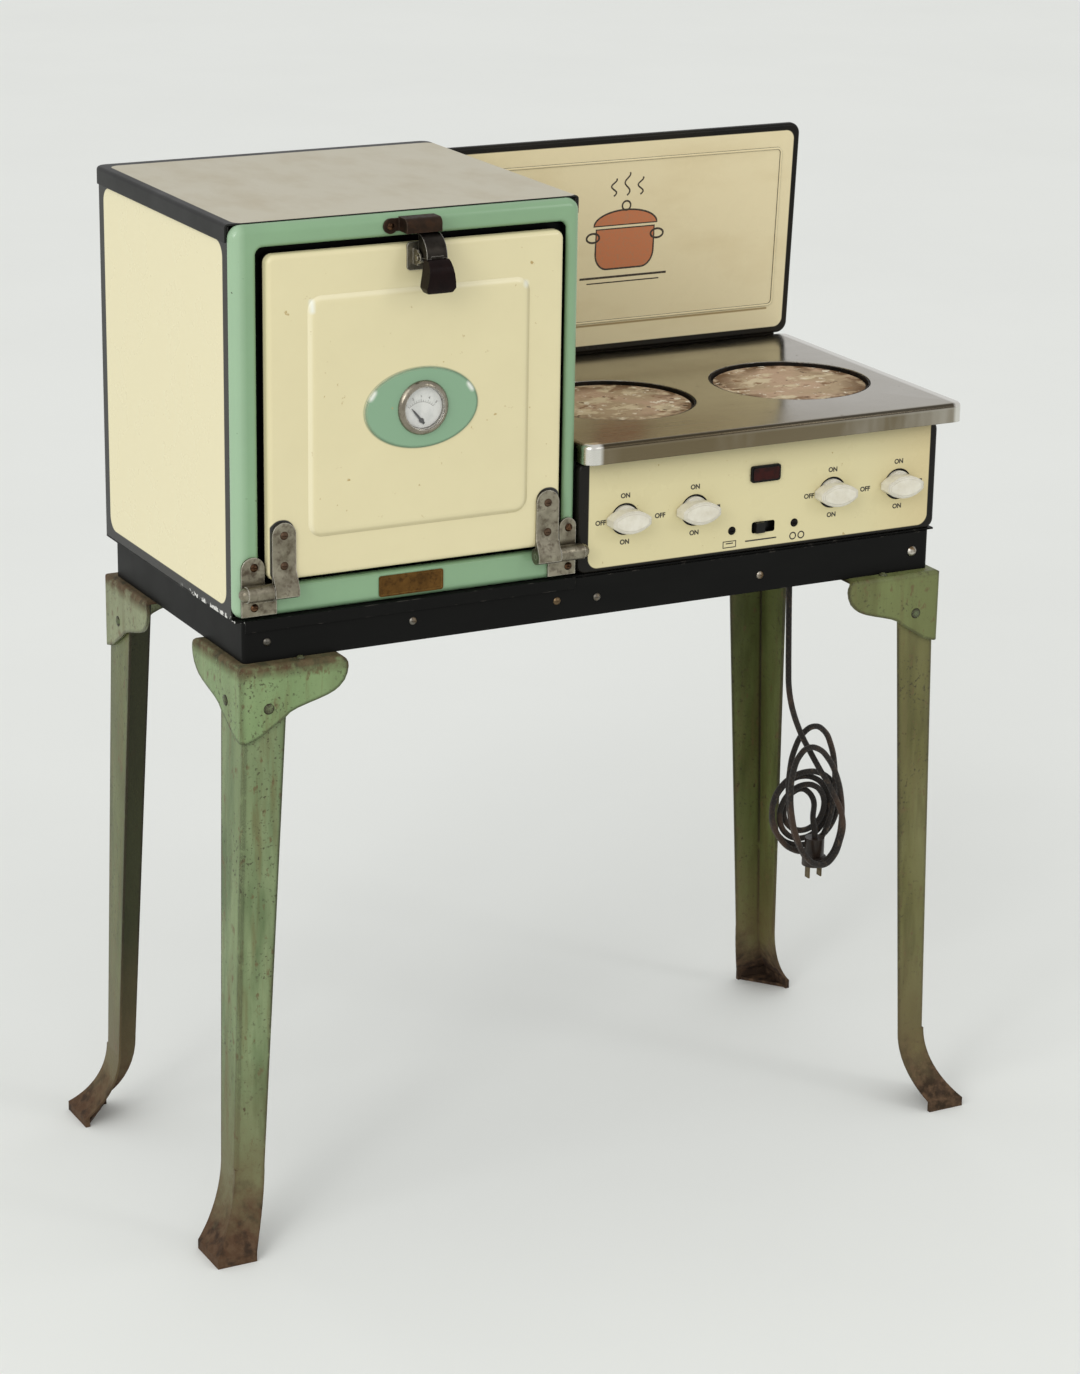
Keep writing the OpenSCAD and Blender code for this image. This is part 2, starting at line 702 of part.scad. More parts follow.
module fixed_leaf(outer, inner) {
    leaf_r = (outer - inner) / 2;
    low_z = floor_z + 3;
    top_z = floor_z + 50.3;
    difference() {
        union() {
            translate([0, front_y - 0.02, 0]) rotate([90, 0, 0]) linear_extrude(leaf_t) {
                translate([-outer + leaf_r, top_z - leaf_r]) circle(leaf_r);
                translate([-outer, low_z]) square([outer - inner, top_z - leaf_r - low_z]);
                translate([-outer, low_z]) square([outer - inner + 10, 11]);
            }
            translate([-fixed_x0, hinge_y, hinge_z]) rotate([0, 90, 0])
                cylinder(r = knuckle_r, h = fixed_x0 - fixed_x1);
            translate([-fixed_x0, hinge_y, hinge_z]) sphere(knuckle_r - 0.8);
        }
        translate([-fixed_x0 + 1, hinge_y, hinge_z]) rotate([0, 90, 0]) cylinder(r = pin_bore, h = big);
    }
}

module fixed_leaf_screws(s)
    for (z = leaf_screw_z)
        front(fixed_leaf_x(s), front_y + 20, floor_z + z) cylinder(r = screw_hole, h = 40);

module hinge_fixed_left() color("#a3a29c") translate([open_cx, 0, 0]) difference() {
    fixed_leaf(open_w / 2 + 16, open_w / 2 - 3.5);
    fixed_leaf_screws(-1);
}

module hinge_fixed_right() color("#a3a29c") translate([open_cx, 0, 0]) difference() {
    mirror([1, 0, 0]) fixed_leaf(open_w / 2 + 11.3, open_w / 2 - 3.5);
    fixed_leaf_screws(1);
}

door_leaf_x = door_w / 2 - 11.8;
door_leaf_z = [19.6, 43.8];
module door_leaf(s) color("#a3a29c") translate([open_cx, 0, 0]) difference() {
    wide = 20;
    outer = door_w / 2 - 1.8;
    top_z = hinge_z + 54;
    union() {
        translate([0, door_y - 0.02, 0]) rotate([90, 0, 0]) linear_extrude(leaf_t) {
            translate([s * (outer - wide / 2), top_z - wide / 2]) circle(wide / 2);
            translate([s * (outer - wide / 2) - wide / 2, hinge_z - 5.4]) square([wide, 59.4 - wide / 2]);
        }
        translate([s > 0 ? door_x1 : -door_x0, hinge_y, hinge_z]) {
            rotate([0, 90, 0]) cylinder(r = knuckle_r, h = knuckle_l);
            // the strap runs on over the knuckle
            rotate([90, 0, 90]) linear_extrude(knuckle_l) polygon([[0, -4.2], [0, 15],
                [door_y - leaf_t + 0.2 - hinge_y, 15], [0.15 - knuckle_r, 2], [0.15 - knuckle_r, -4.2]]);
        }
    }
    translate([-big / 2, hinge_y, hinge_z]) rotate([0, 90, 0]) cylinder(r = pin_bore, h = big);
    for (z = door_leaf_z)
        front(s * door_leaf_x, door_y + 5, hinge_z + z) cylinder(r = screw_hole, h = 20);
}

module hinge_pins() color("#8a8a86")
    for (s = [-1, 1])
        translate([open_cx + (s > 0 ? door_x1 : -fixed_x0 + 1.2), hinge_y, hinge_z])
            rotate([0, 90, 0]) cylinder(r = pin_r, h = fixed_x0 - 1.2 - door_x1);

module door_screws() color("#9a9992") {
    for (s = [-1, 1], z = door_leaf_z)
        front(open_cx + s * door_leaf_x, door_y - leaf_t - 0.04, hinge_z + z) screw(6);
    for (z = [-7, 7])
        front(latch_x, door_y - sheet_t - 0.04, latch_z + z) screw(5, 2.4);
}

// latch

module latch_plate() color("#a3a29c") {
    cheek = latch_w / 2 + 0.8;
    difference() {
        union() {
            front(latch_x, door_y - 0.02, latch_z) linear_extrude(sheet_t) rrect(32, 22, 3);
            for (s = [-1, 1])
                translate([latch_x + s * (cheek + 0.75), door_y - 0.1, latch_z])
                    rotate([90, 0, 90]) translate([0, 0, -0.75]) linear_extrude(1.5) {
                        translate([-14 + 4.5, 0]) circle(4.5);
                        translate([-14 + 4.5, -6]) square([14 - 4.5, 12]);
                    }
        }
        translate([0, latch_y, latch_z]) rotate([0, 90, 0]) translate([0, 0, -big / 2])
            cylinder(r = latch_r + fit, h = big);
        for (z = [-7, 7]) front(latch_x, door_y + 5, latch_z + z) cylinder(r = screw_hole, h = 12);
    }
}

module latch_pin() color("#8a8a86") translate([latch_x, latch_y, latch_z]) rotate([0, 90, 0]) {
    half = latch_w / 2 + 2.8;
    translate([0, 0, -half]) cylinder(r = latch_r, h = 2 * half);
    for (s = [-1, 1]) translate([0, 0, s * (half + 0.3) - 0.6]) cylinder(r = 2.4, h = 1.2);
}

// strap centre, from the pin
strap_y = latch_y + 6;
strap_z = latch_z + 0.5;
module quarter(r) intersection() {
    circle(r);
    translate([-r, 0]) square(r);
}

module latch_lever() color("#a3a29c") difference() {
    union() {
        translate([latch_x - latch_w / 2, strap_y, strap_z]) rotate([90, 0, 90]) linear_extrude(latch_w)
            difference() {
                quarter(strap_r);
                circle(strap_r - strap_t);
            }
        for (x = [-latch_w / 2, latch_w / 2 - strap_t])
            translate([latch_x + x, strap_y, strap_z]) rotate([90, 0, 90]) linear_extrude(strap_t) {
                intersection() {
                    quarter(strap_r - 1);
                    translate([-strap_r, 0]) square([strap_r - 2.5, strap_r]);
                }
                translate([-6, -0.5]) circle(4);
            }
        translate([latch_x - 5, strap_y - strap_r, strap_z - 14]) cube([10, strap_t, 16]);
    }
    translate([latch_x - 20, latch_y, latch_z]) rotate([0, 90, 0]) cylinder(r = latch_r + fit, h = 40);
}

module latch_grip() color("#2b211b") {
    top_w = 18;
    low_w = 24.5;
    high = 26.5;
    z1 = strap_z - 0.2;
    y1 = strap_y - strap_r - 9.2;
    difference() {
        intersection() {
            translate([latch_x, y1 + 30, z1 - high]) rotate([90, 0, 0]) linear_extrude(60) {
                polygon([[-top_w / 2, high], [-low_w / 2, 5], [-low_w / 2 + 1.5, 1.5], [-low_w / 2 + 5, 0],
                    [low_w / 2 - 5, 0], [low_w / 2 - 1.5, 1.5], [low_w / 2, 5], [top_w / 2, high]]);
            }
            translate([latch_x - 20, y1, z1 - high]) rotate([90, 0, 90]) linear_extrude(40)
                polygon([[0, 10], [0, 16], [1.5, 21], [4, 24.5], [7, high], [14, high], [14, 6], [12, 2], [8, 0],
                    [4, 1.2], [1.2, 5]]);
        }
        translate([latch_x - 5.1, strap_y - strap_r - 0.1, strap_z - 14.2]) cube([10.2, strap_t + 0.2, 40]);
    }
}

module latch_keeper() color("#3b2c20") {
    half = 15;
    y = front_y - 0.02;
    up = 11;
    out = 15.5;
    r = 5;
    difference() {
        union() {
            translate([latch_x - half - 5, y, keeper_z]) rotate([90, 0, 90]) linear_extrude(2 * half) {
                translate([-out + r, 0]) square([out - r, up]);
                translate([-out, 0]) square([out, up - r]);
                translate([-out + r, up - r]) circle(r);
            }
            front(latch_x - 27, y, keeper_z + 4) linear_extrude(sheet_t) {
                circle(6);
                translate([0, -4]) square([12, 10]);
            }
        }
        translate([latch_x - half - 5 + sheet_t, y - out + sheet_t, keeper_z - 1])
            cube([2 * half - 2 * sheet_t, out - 2 * sheet_t, up - r / 2]);
        front(latch_x - 27, front_y + 5, keeper_z + 4) cylinder(r = screw_hole, h = 20);
    }
}

// range

module range_shell() color("#1e1d1b") {
    y0 = front_y + 8.2;
    w = range_x1 - range_x0;
    lip = 10;
    difference() {
        translate([range_x0, y0, floor_z]) cube([w, back_y - y0, panel_h]);
        translate([range_x0 + sheet_t, y0 - 1, floor_z + sheet_t])
            cube([w - 2 * sheet_t, back_y - y0 + 1 - sheet_t, panel_h]);
        translate([range_x0 + lip, y0 + lip, floor_z - 1]) cube([w - 2 * lip, back_y - y0 - 2 * lip, panel_h]);
    }
}

module control_panel() color("#e2dab5") front((range_x0 + range_x1) / 2, front_y, floor_z + panel_h / 2)
    difference() {
        cx = (range_x0 + range_x1) / 2;
        cz = floor_z + panel_h / 2;
        pan(range_x1 - range_x0, panel_h, 8, 8, 3, sheet_t);
        for (x = knob_dx) translate([panel_cx + x - cx, knob_cz - cz, -10]) cylinder(r = hole_r, h = 20);
        translate([panel_cx - cx, pilot_z - cz, -10]) linear_extrude(20) rrect(pilot_w - 3, pilot_h - 3, 1);
        translate([panel_cx - cx, selector_z - cz, -10]) linear_extrude(20) rrect(selector_w, selector_h, 2);
        for (x = [-30, 30]) translate([panel_cx + x - cx, selector_z - cz, -10]) cylinder(r = screw_hole, h = 20);
    }

module stovetop() color("#b9b4aa") difference() {
    translate([hob_cx, hob_cy, hob_top]) pan(hob_x1 - hob_x0, hob_y1 - hob_y0, 9, hob_h, 4, sheet_t);
    for (s = [-1, 1]) translate([hob_cx + s * burner_dx, burner_y, hob_top - 10]) cylinder(r = burner_r, h = 20);
}

// fired disc with a hole for the heating wire near its edge, at an angle from its middle
module hotplate(s, hole_a) color("#b59a83") translate([hob_cx + s * burner_dx, burner_y, hob_top - 3]) {
    r = burner_r - 2.2;
    difference() {
        union() {
            translate([0, 0, -12]) cylinder(r = r - 2, h = 12);
            translate([0, 0, -12]) cylinder(r = r, h = 10.6);
        }
        rotate([0, 0, hole_a]) translate([r - 7, 0, -5]) cylinder(r = 2.6, h = 10);
    }
}

module element_pans() color("#2a2724")
    for (s = [-1, 1]) translate([hob_cx + s * burner_dx, burner_y, hob_top]) rotate_extrude() {
        wall = 1.2;
        r = burner_r - 0.6;
        translate([r - wall, -16.6]) square([wall, 16.2]);
        translate([0, -16.6]) square([r, wall]);
        translate([r - wall, -sheet_t - 1.3]) square([6.5, 1.1]);
    }

module backsplash() color("#e2dab5") {
    w = hob_x1 - hob_x0;
    deep = 5;
    translate([hob_cx, hob_y1 - 2, hob_top + 0.3]) rotate([splash_lean, 0, 0])
        front(0, 0, splash_h / 2) {
            pan(w, splash_h, 10, deep, 3, 1.2);
            translate([0, 3, 0]) rim(w - 34, splash_h - 46, 6)
                translate([6 - 1.6, -0.2]) intersection() {
                    circle(1.2, $fn = 24);
                    translate([-2, 0]) square([4, 2]);
                }
        }
    translate([hob_x0 + 12, hob_y1 + 0.25, hob_z + 3]) cube([w - 24, 1.2, hob_h + 3]);
}

// controls

// two arcs that meet in a blunt tip at each end
module knob_blade(long, wide) {
    arc_l = long + 5;
    arc_r = (arc_l * arc_l + wide * wide) / (4 * wide);
    intersection() {
        translate([0, arc_r - wide / 2]) circle(arc_r, $fn = 180);
        translate([0, wide / 2 - arc_r]) circle(arc_r, $fn = 180);
        square([long, 2 * wide], center = true);
    }
}

module knob(k) color("#eceadf") front(panel_cx + knob_dx[k], front_y, knob_cz) {
    proud = 14;
    blade = 19;
    translate([0, 0, -1.2]) cylinder(r = knob_d / 2, h = 3.2);
    translate([0, 0, 1.9]) cylinder(r = knob_d / 2 - 1, h = 0.9);
    translate([0, 0, 1]) linear_extrude(proud - 2.2) knob_blade(knob_l, blade);
    linear_extrude(proud - 0.6) knob_blade(knob_l - 2, blade - 2);
    linear_extrude(proud) knob_blade(knob_l - 5, blade - 5);
    translate([0, 0, -17]) cylinder(r = stem_r, h = 18);
}

module switch_bodies() color("#26231f")
    for (x = knob_dx) front(panel_cx + x, front_y, knob_cz) difference() {
        union() {
            translate([0, 0, -sheet_t - 1.7]) cylinder(r = hole_r + 2, h = 1.6);
            translate([-14, -14, -22]) cube([28, 28, 22 - sheet_t - 1.6]);
        }
        translate([0, 0, -18]) cylinder(r = stem_r + fit, h = 20);
    }

module pilot_window() color("#7a1414") front(panel_cx, front_y - 0.05, pilot_z) {
    linear_extrude(2) rrect(pilot_w, pilot_h, 2.5);
    linear_extrude(2.8) rrect(pilot_w - 3, pilot_h - 3, 2);
    translate([0, 0, -8]) linear_extrude(9) rrect(pilot_w - 3.4, pilot_h - 3.4, 1);
}

selector_x = panel_cx - selector_travel / 2;
module selector_button() color("#1c1a18") front(selector_x, front_y, selector_z) {
    translate([-selector_b / 2, -selector_h / 2 + 0.4, -5]) cube([selector_b, selector_h - 0.8, 8]);
    translate([-selector_b / 2 - 1.5, -selector_h / 2 - 0.9, -5.4]) cube([selector_b + 3, selector_h + 1.8, 2]);
}

module selector_switch() color("#26231f") front(panel_cx, front_y, selector_z) difference() {
    translate([-36, -11, -18]) cube([72, 22, 18 - sheet_t - 0.1]);
    translate([-selector_w / 2 - 3.5, -selector_h / 2 - 1.2, -5.7]) cube([selector_w + 7, selector_h + 2.4, 10]);
    for (x = [-30, 30]) translate([x, 0, -10]) cylinder(r = screw_hole, h = 20);
}

module case_screws() color("#8f8a7d") {
    for (p = apron_screws)
        front(p[0], -apron_y - 0.02, stand_h + apron_h / 2 + p[1]) screw(5, p[2]);
    for (s = [-1, 1], z = leaf_screw_z)
        front(open_cx + fixed_leaf_x(s), front_y - leaf_t - 0.04, floor_z + z) screw(6);
    front(latch_x - 27, front_y - sheet_t - 0.04, keeper_z + 4) screw(5, 3);
    for (x = [-30, 30]) front(panel_cx + x, front_y - 0.02, selector_z) screw(6, 3.6);
}

// lead

bushing_r = 7;
module lead_bushing() color("#1a1817") translate([lead_x, lead_y, floor_z - base_t]) rotate_extrude() {
    bore = lead_r + 0.1;
    translate([bore, -2.6]) square([bushing_r + 2.5 - bore, 2.5]);
    translate([bore, -2.6]) square([bushing_r - bore, 5.5]);
    translate([bore, base_t + 0.1]) square([bushing_r + 1.5 - bore, 1.3]);
}

// round tube swept along points [x, z] in the plane of the lead
function unit(v) = v / norm(v);
function heading(path, i) = unit(path[min(i + 1, len(path) - 1)] - path[max(i - 1, 0)]);
module tube(path, r, sides) {
    points = [for (i = [0:len(path) - 1], k = [0:sides - 1])
        let (d = heading(path, i), a = 360 * k / sides)
            [path[i][0] - d[1] * r * cos(a), lead_y + r * sin(a), path[i][1] + d[0] * r * cos(a)]];
    last = len(path) - 1;
    faces = concat([[for (k = [0:sides - 1]) k]],
        [for (i = [0:last - 1], k = [0:sides - 1])
            [i * sides + k, (i + 1) * sides + k, (i + 1) * sides + (k + 1) % sides, i * sides + (k + 1) % sides]],
        [[for (k = [0:sides - 1]) last * sides + sides - 1 - k]]);
    polyhedron(points = points, faces = faces, convexity = 6);
}

module lead() color("#241d18") translate([lead_dx, 0, lead_drop]) tube(route, lead_r, 10);

module lead_hank() color("#241d18") translate([lead_dx, hank_y + hank_t / 2, lead_drop]) rotate([90, 0, 0])
    linear_extrude(hank_t) difference() {
        union() {
            translate([hank_x, hank_z]) circle(40);
            translate([hank_x - 42, hank_z]) square([65, hank_top - hank_z - 20]);
            translate([hank_x - 22, hank_top - 20]) circle(20);
            translate([hank_x + 3, hank_top - 20]) circle(20);
            translate([hank_x - 22, hank_top - 30]) square([25, 30]);
        }
        translate([plug_x - plug_r - 0.2, 0]) square([2 * plug_r + 0.4, plug_z1]);
    }

module plug_body() color("#2a1f18") translate([plug_x + lead_dx, lead_y, plug_z0 + lead_drop]) {
    cylinder(r = plug_r, h = 8);
    translate([0, 0, 7]) cylinder(r = plug_r - 2, h = plug_z1 - plug_z0 - 7);
}

module plug_prongs() color("#b08d4f")
    for (s = [-1, 1]) translate([plug_x + lead_dx + s * 6.3 - 0.75, lead_y - 3.2, plug_z0 + lead_drop - 12])
        cube([1.5, 6.4, 12]);

apron_frame();
leg(-1, -1);  // leg_front_left
leg(1, -1);  // leg_front_right
leg(-1, 1);  // leg_rear_left
leg(1, 1);  // leg_rear_right
bracket(-1, -1);  // bracket_front_left
bracket(1, -1);  // bracket_front_right
bracket(-1, 1);  // bracket_rear_left
bracket(1, 1);  // bracket_rear_right
bracket_bolts();
leg_rivets();
case_screws();
base_plate();
oven_shell();
oven_back();
oven_lid();
oven_front_frame();
nameplate();
oven_liner();
oven_rack(rack_z[0]);  // rack_upper
oven_rack(rack_z[1]);  // rack_lower
oven_element();
door_panel();
door_liner();
gauge_case();
gauge_dial();
gauge_needle();
gauge_glass();
hinge_fixed_left();
hinge_fixed_right();
door_leaf(-1);  // hinge_door_left
door_leaf(1);  // hinge_door_right
hinge_pins();
door_screws();
latch_keeper();
latch_plate();
latch_lever();
latch_grip();
latch_pin();
range_shell();
control_panel();
stovetop();
hotplate(-1, -31);  // hotplate_left
hotplate(1, 159);  // hotplate_right
element_pans();
backsplash();
knob(0);  // knob_1
knob(1);  // knob_2
knob(2);  // knob_3
knob(3);  // knob_4
switch_bodies();
pilot_window();
selector_button();
selector_switch();
lead_bushing();
lead();
lead_hank();
plug_body();
plug_prongs();
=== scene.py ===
import bpy
import math
from mathutils import Matrix, Vector


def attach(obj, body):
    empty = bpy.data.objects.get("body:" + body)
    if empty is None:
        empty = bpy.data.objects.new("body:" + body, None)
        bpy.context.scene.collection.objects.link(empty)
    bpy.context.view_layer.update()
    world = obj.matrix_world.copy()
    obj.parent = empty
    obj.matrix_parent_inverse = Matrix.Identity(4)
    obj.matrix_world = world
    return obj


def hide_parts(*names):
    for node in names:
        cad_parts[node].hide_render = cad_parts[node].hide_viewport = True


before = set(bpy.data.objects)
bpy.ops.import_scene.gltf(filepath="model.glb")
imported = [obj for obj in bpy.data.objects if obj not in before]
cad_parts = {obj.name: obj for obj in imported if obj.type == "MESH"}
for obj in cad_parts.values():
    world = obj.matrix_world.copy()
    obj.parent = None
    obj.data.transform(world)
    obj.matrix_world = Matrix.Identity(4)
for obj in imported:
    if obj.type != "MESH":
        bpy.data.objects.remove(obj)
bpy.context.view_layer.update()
mm = 0.001
farOff = 10   # metres, past any part of the object


# general helpers

def linear(hexColour):
    # sRGB hex to the linear colour that shaders use
    parts = [int(hexColour[i:i + 2], 16) / 255 for i in (1, 3, 5)]
    return [c / 12.92 if c <= 0.04045 else ((c + 0.055) / 1.055) ** 2.4 for c in parts] + [1]


def addNode(tree, kind, settings=None, out=0):
    # adds a node; a socket as a value is linked, a hex string is a colour; gives back one output
    node = tree.nodes.new("ShaderNode" + kind)
    for name, value in (settings or {}).items():
        if isinstance(name, str) and hasattr(node, name):
            setattr(node, name, value)
        elif isinstance(value, bpy.types.NodeSocket):
            tree.links.new(value, node.inputs[name])
        else:
            node.inputs[name].default_value = linear(value) if isinstance(value, str) else value
    return node.outputs[out] if len(node.outputs) else node


def newMaterial(name):
    material = bpy.data.materials.new(name)
    material.use_nodes = True
    material.node_tree.nodes.clear()
    return material, material.node_tree, addNode(material.node_tree, "TexCoord", out="Object")


def finishMaterial(tree, settings):
    addNode(tree, "OutputMaterial", {"Surface": addNode(tree, "BsdfPrincipled", settings)})


def maths(tree, operation, *values):
    return addNode(tree, "Math", {"operation": operation, **dict(enumerate(values))})


def vectors(tree, operation, *values, out=0):
    return addNode(tree, "VectorMath", {"operation": operation, **dict(enumerate(values))}, out)


def rising(tree, value, low, high):
    # 0 where value is at low, 1 where it is at high
    return addNode(tree, "MapRange", {"Value": value, "From Min": low, "From Max": high})


def ranged(tree, value, start, end):
    # value from 0 to 1 spread from start to end
    return addNode(tree, "MapRange", {"Value": value, "To Min": start, "To Max": end})


def blotches(tree, point, size, low, high, stretch=(1, 1, 1), offset=(0, 0, 0)):
    # soft patches of a size in mm: 0 where the noise is under low, 1 where it is over high
    place = addNode(tree, "Mapping", {"Vector": point, "Scale": stretch, "Location": offset})
    noise = addNode(tree, "TexNoise", {"Vector": place, "Scale": 1 / (size * mm), "Detail": 4, "Roughness": 0.6})
    return rising(tree, noise, low, high)


def paintOver(tree, below, mask, colour):
    return addNode(tree, "Mix", {"data_type": "RGBA", 0: mask, 6: below, 7: colour}, 2)


def band(tree, point, axis, start, end):
    # 0 before start and 1 past end along one axis, both in mm
    return rising(tree, addNode(tree, "SeparateXYZ", {"Vector": point}, axis), start * mm, end * mm)


def both(tree, *masks):
    product = masks[0]
    for mask in masks[1:]:
        product = maths(tree, "MULTIPLY", product, mask)
    return product


def either(tree, *masks):
    largest = masks[0]
    for mask in masks[1:]:
        largest = maths(tree, "MAXIMUM", largest, mask)
    return largest


def without(tree, mask, start=1.0):
    return maths(tree, "SUBTRACT", start, mask)


def facing(tree, direction, low=0.6, high=0.75):
    # 1 on faces that look along direction
    normal = addNode(tree, "TexCoord", out="Normal")
    return rising(tree, vectors(tree, "DOT_PRODUCT", normal, direction, out="Value"), low, high)


def field(tree, point, middle, size, corner, soft=0.7):
    # 1 inside a rounded rectangle in mm; a size of None leaves that axis free
    half = [farOff if s is None else s * mm / 2 - corner * mm for s in size]
    away = vectors(tree, "SUBTRACT", point, [m * mm for m in middle])
    away = vectors(tree, "SUBTRACT", vectors(tree, "ABSOLUTE", away), half)
    away = vectors(tree, "LENGTH", vectors(tree, "MAXIMUM", away, (0, 0, 0)), out="Value")
    return rising(tree, away, (corner + soft / 2) * mm, (corner - soft / 2) * mm)


def oval(tree, point, middle, size, soft=0.02):
    # 1 inside an ellipse in the XZ plane, in mm
    place = vectors(tree, "SUBTRACT", point, [m * mm for m in middle])
    place = vectors(tree, "MULTIPLY", place, (2 / (size[0] * mm), 0, 2 / (size[1] * mm)))
    return rising(tree, vectors(tree, "LENGTH", place, out="Value"), 1 + soft, 1 - soft)


def edges(tree, radius, low=0.02, high=0.2):
    # 1 along sharp edges, where the bevelled normal leaves the face's own
    rounded = addNode(tree, "Bevel", {"samples": 4, "Radius": radius * mm})
    flat = addNode(tree, "NewGeometry", out="Normal")
    return rising(tree, vectors(tree, "DOT_PRODUCT", rounded, flat, out="Value"), 1 - low, 1 - high)


def relief(tree, height, depth, radius=0.5):
    # bump of a depth in mm over edges softened by radius in mm
    rounded = addNode(tree, "Bevel", {"samples": 4, "Radius": radius * mm})
    return addNode(tree, "Bump", {"Strength": 1.0, "Distance": depth * mm, "Height": height, "Normal": rounded})


def select(*objects):
    bpy.ops.object.select_all(action="DESELECT")
    for item in objects:
        item.select_set(True)
    bpy.context.view_layer.objects.active = objects[0]


def settle(piece, name, material, body):
    # puts a finished piece's place into its mesh, names it and gives it its material and body
    select(piece)
    bpy.ops.object.transform_apply(location=True, rotation=True, scale=True)
    piece.name = name
    piece.data.materials.clear()
    piece.data.materials.append(material)
    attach(piece, body)
    return piece


def joined(pieces):
    select(*pieces)
    if len(pieces) > 1:
        bpy.ops.object.join()
    return bpy.context.view_layer.objects.active


# camera, light and floor

camera = {"place": (-1.37277, -2.61232, 1.37191), "right": (0.885322, -0.464724, 0.015355),
          "up": (0.133535, 0.285741, 0.948968), "ahead": (0.445391, 0.838083, -0.315029),
          "lens": 95.66, "sensor": 36, "clipEnd": 100}
lighting = {"world": "#FFFFFF", "worldStrength": 0.75,
            "sun": {"from": (-0.75, -0.45, 0.6), "strength": 0.75, "spread": 45},
            "softboxes": [  # name, place, aim, size in metres, watts
                ("leftSoftbox", (-2.6, -1.9, 1.9), (0, 0, 0.65), (0.6, 1.4), 11),
                ("rightSoftbox", (1.9, -2.6, 2.3), (0, 0, 0.65), (0.6, 1.2), 9)]}
floorPaint = {"side": 60, "base": "#EDEFEB", "patch": "#EBEDE9", "patchSize": 700}


def makeCamera():
    data = bpy.data.cameras.new("photoCamera")
    data.sensor_width = camera["sensor"]
    data.lens = camera["lens"]
    data.clip_end = camera["clipEnd"]
    item = bpy.data.objects.new("photoCamera", data)
    bpy.context.scene.collection.objects.link(item)
    axes = Matrix([camera["right"], camera["up"], [-c for c in camera["ahead"]]]).transposed()
    item.matrix_world = Matrix.Translation(camera["place"]) @ axes.to_4x4()
    bpy.context.scene.camera = item


def makeStage():
    scene = bpy.context.scene
    scene.view_settings.view_transform = "Standard"
    world = bpy.data.worlds.new("studioLight")
    world.use_nodes = True
    world.node_tree.nodes["Background"].inputs["Color"].default_value = linear(lighting["world"])
    world.node_tree.nodes["Background"].inputs["Strength"].default_value = lighting["worldStrength"]
    scene.world = world
    sun = lighting["sun"]
    data = bpy.data.lights.new("softSun", "SUN")
    data.energy, data.angle = sun["strength"], math.radians(sun["spread"])
    item = bpy.data.objects.new("softSun", data)
    item.rotation_euler = (-Vector(sun["from"])).to_track_quat("-Z", "Y").to_euler()
    scene.collection.objects.link(item)
    for name, place, aim, size, watts in lighting["softboxes"]:
        data = bpy.data.lights.new(name, "AREA")
        data.shape, data.size, data.size_y, data.energy = "RECTANGLE", size[0], size[1], watts
        item = bpy.data.objects.new(name, data)
        item.location = place
        item.rotation_euler = (Vector(aim) - Vector(place)).to_track_quat("-Z", "Y").to_euler()
        scene.collection.objects.link(item)
    bpy.ops.mesh.primitive_plane_add(size=floorPaint["side"], location=(0, 0, 0))
    floor = bpy.context.active_object
    floor.name = "studioFloor"
    # painted studio floor: matt pale grey with faint uneven patches
    material, tree, point = newMaterial("mattStudioPaint")
    patches = blotches(tree, point, floorPaint["patchSize"], 0.4, 0.7)
    tone = paintOver(tree, floorPaint["base"], patches, floorPaint["patch"])
    finishMaterial(tree, {"Base Color": tone, "Roughness": 0.85, "Specular IOR Level": 0.2})
    floor.data.materials.append(material)


makeCamera()
makeStage()
print("camera, light and floor")


# the lead: its line repeats the route in the part's source, in mm

lead = {"diameter": 5.4, "length": 1.632, "depth": 20,
        "drop": [(273, 529), (273, 500), (274, 460), (275, 420), (276, 390), (277, 364), (278, 348), (281, 332),
                 (285, 319), (289, 309)],
        "entry": [(293, 18.5, 299), (300, 14.5, 284), (308, 9, 267), (316, 3.5, 251)],
        # turn number, middle x and z, half width, half height and tilt of the hank's turns
        "turns": [(0.75, 300, 236, 26, 58, -10), (1.75, 312, 239, 28, 61, 4), (2.75, 313, 217, 37, 37.5, 0),
                  (3.6, 314, 217, 33, 33, 0), (4.1, 314, 216, 26.8, 26.8, 0), (4.65, 314, 216, 26.8, 26.8, 0),
                  (5.05, 314, 217, 20.4, 20.4, 0), (5.75, 314, 217, 20.4, 20.4, 0)],
        "lastTurn": 5.68, "perTurn": 16,
        # depth along the turns in mm: start and slope before the plug, the turns of the crossing, start and slope
        # behind it, then the turns where the lead comes forward and goes back, and that slope
        "inFront": (-2.2, 5.8), "crossing": (1.3, 1.7), "behind": (34, 6.15), "returns": (3.7, 4.7, 5.7),
        "exit": [(306.2, 46.2, 235.7), (313, 46, 236.2), (318.6, 44.8, 233), (321.6, 41.6, 228), (321, 37.5, 223.4),
                 (318.2, 33.2, 220), (315, 29, 216.6), (312.8, 25, 212), (312, 21.8, 207), (312, 20.2, 202),
                 (312, 20, 198)]}


def smooth(part):
    return part * part * (3 - 2 * part)


def turnShape(turn):
    keys = lead["turns"]
    if turn <= keys[0][0]:
        return keys[0][1:]
    for first, last in zip(keys, keys[1:]):
        if turn <= last[0]:
            part = smooth((turn - first[0]) / (last[0] - first[0]))
            return [a + (b - a) * part for a, b in zip(first[1:], last[1:])]
    return keys[-1][1:]


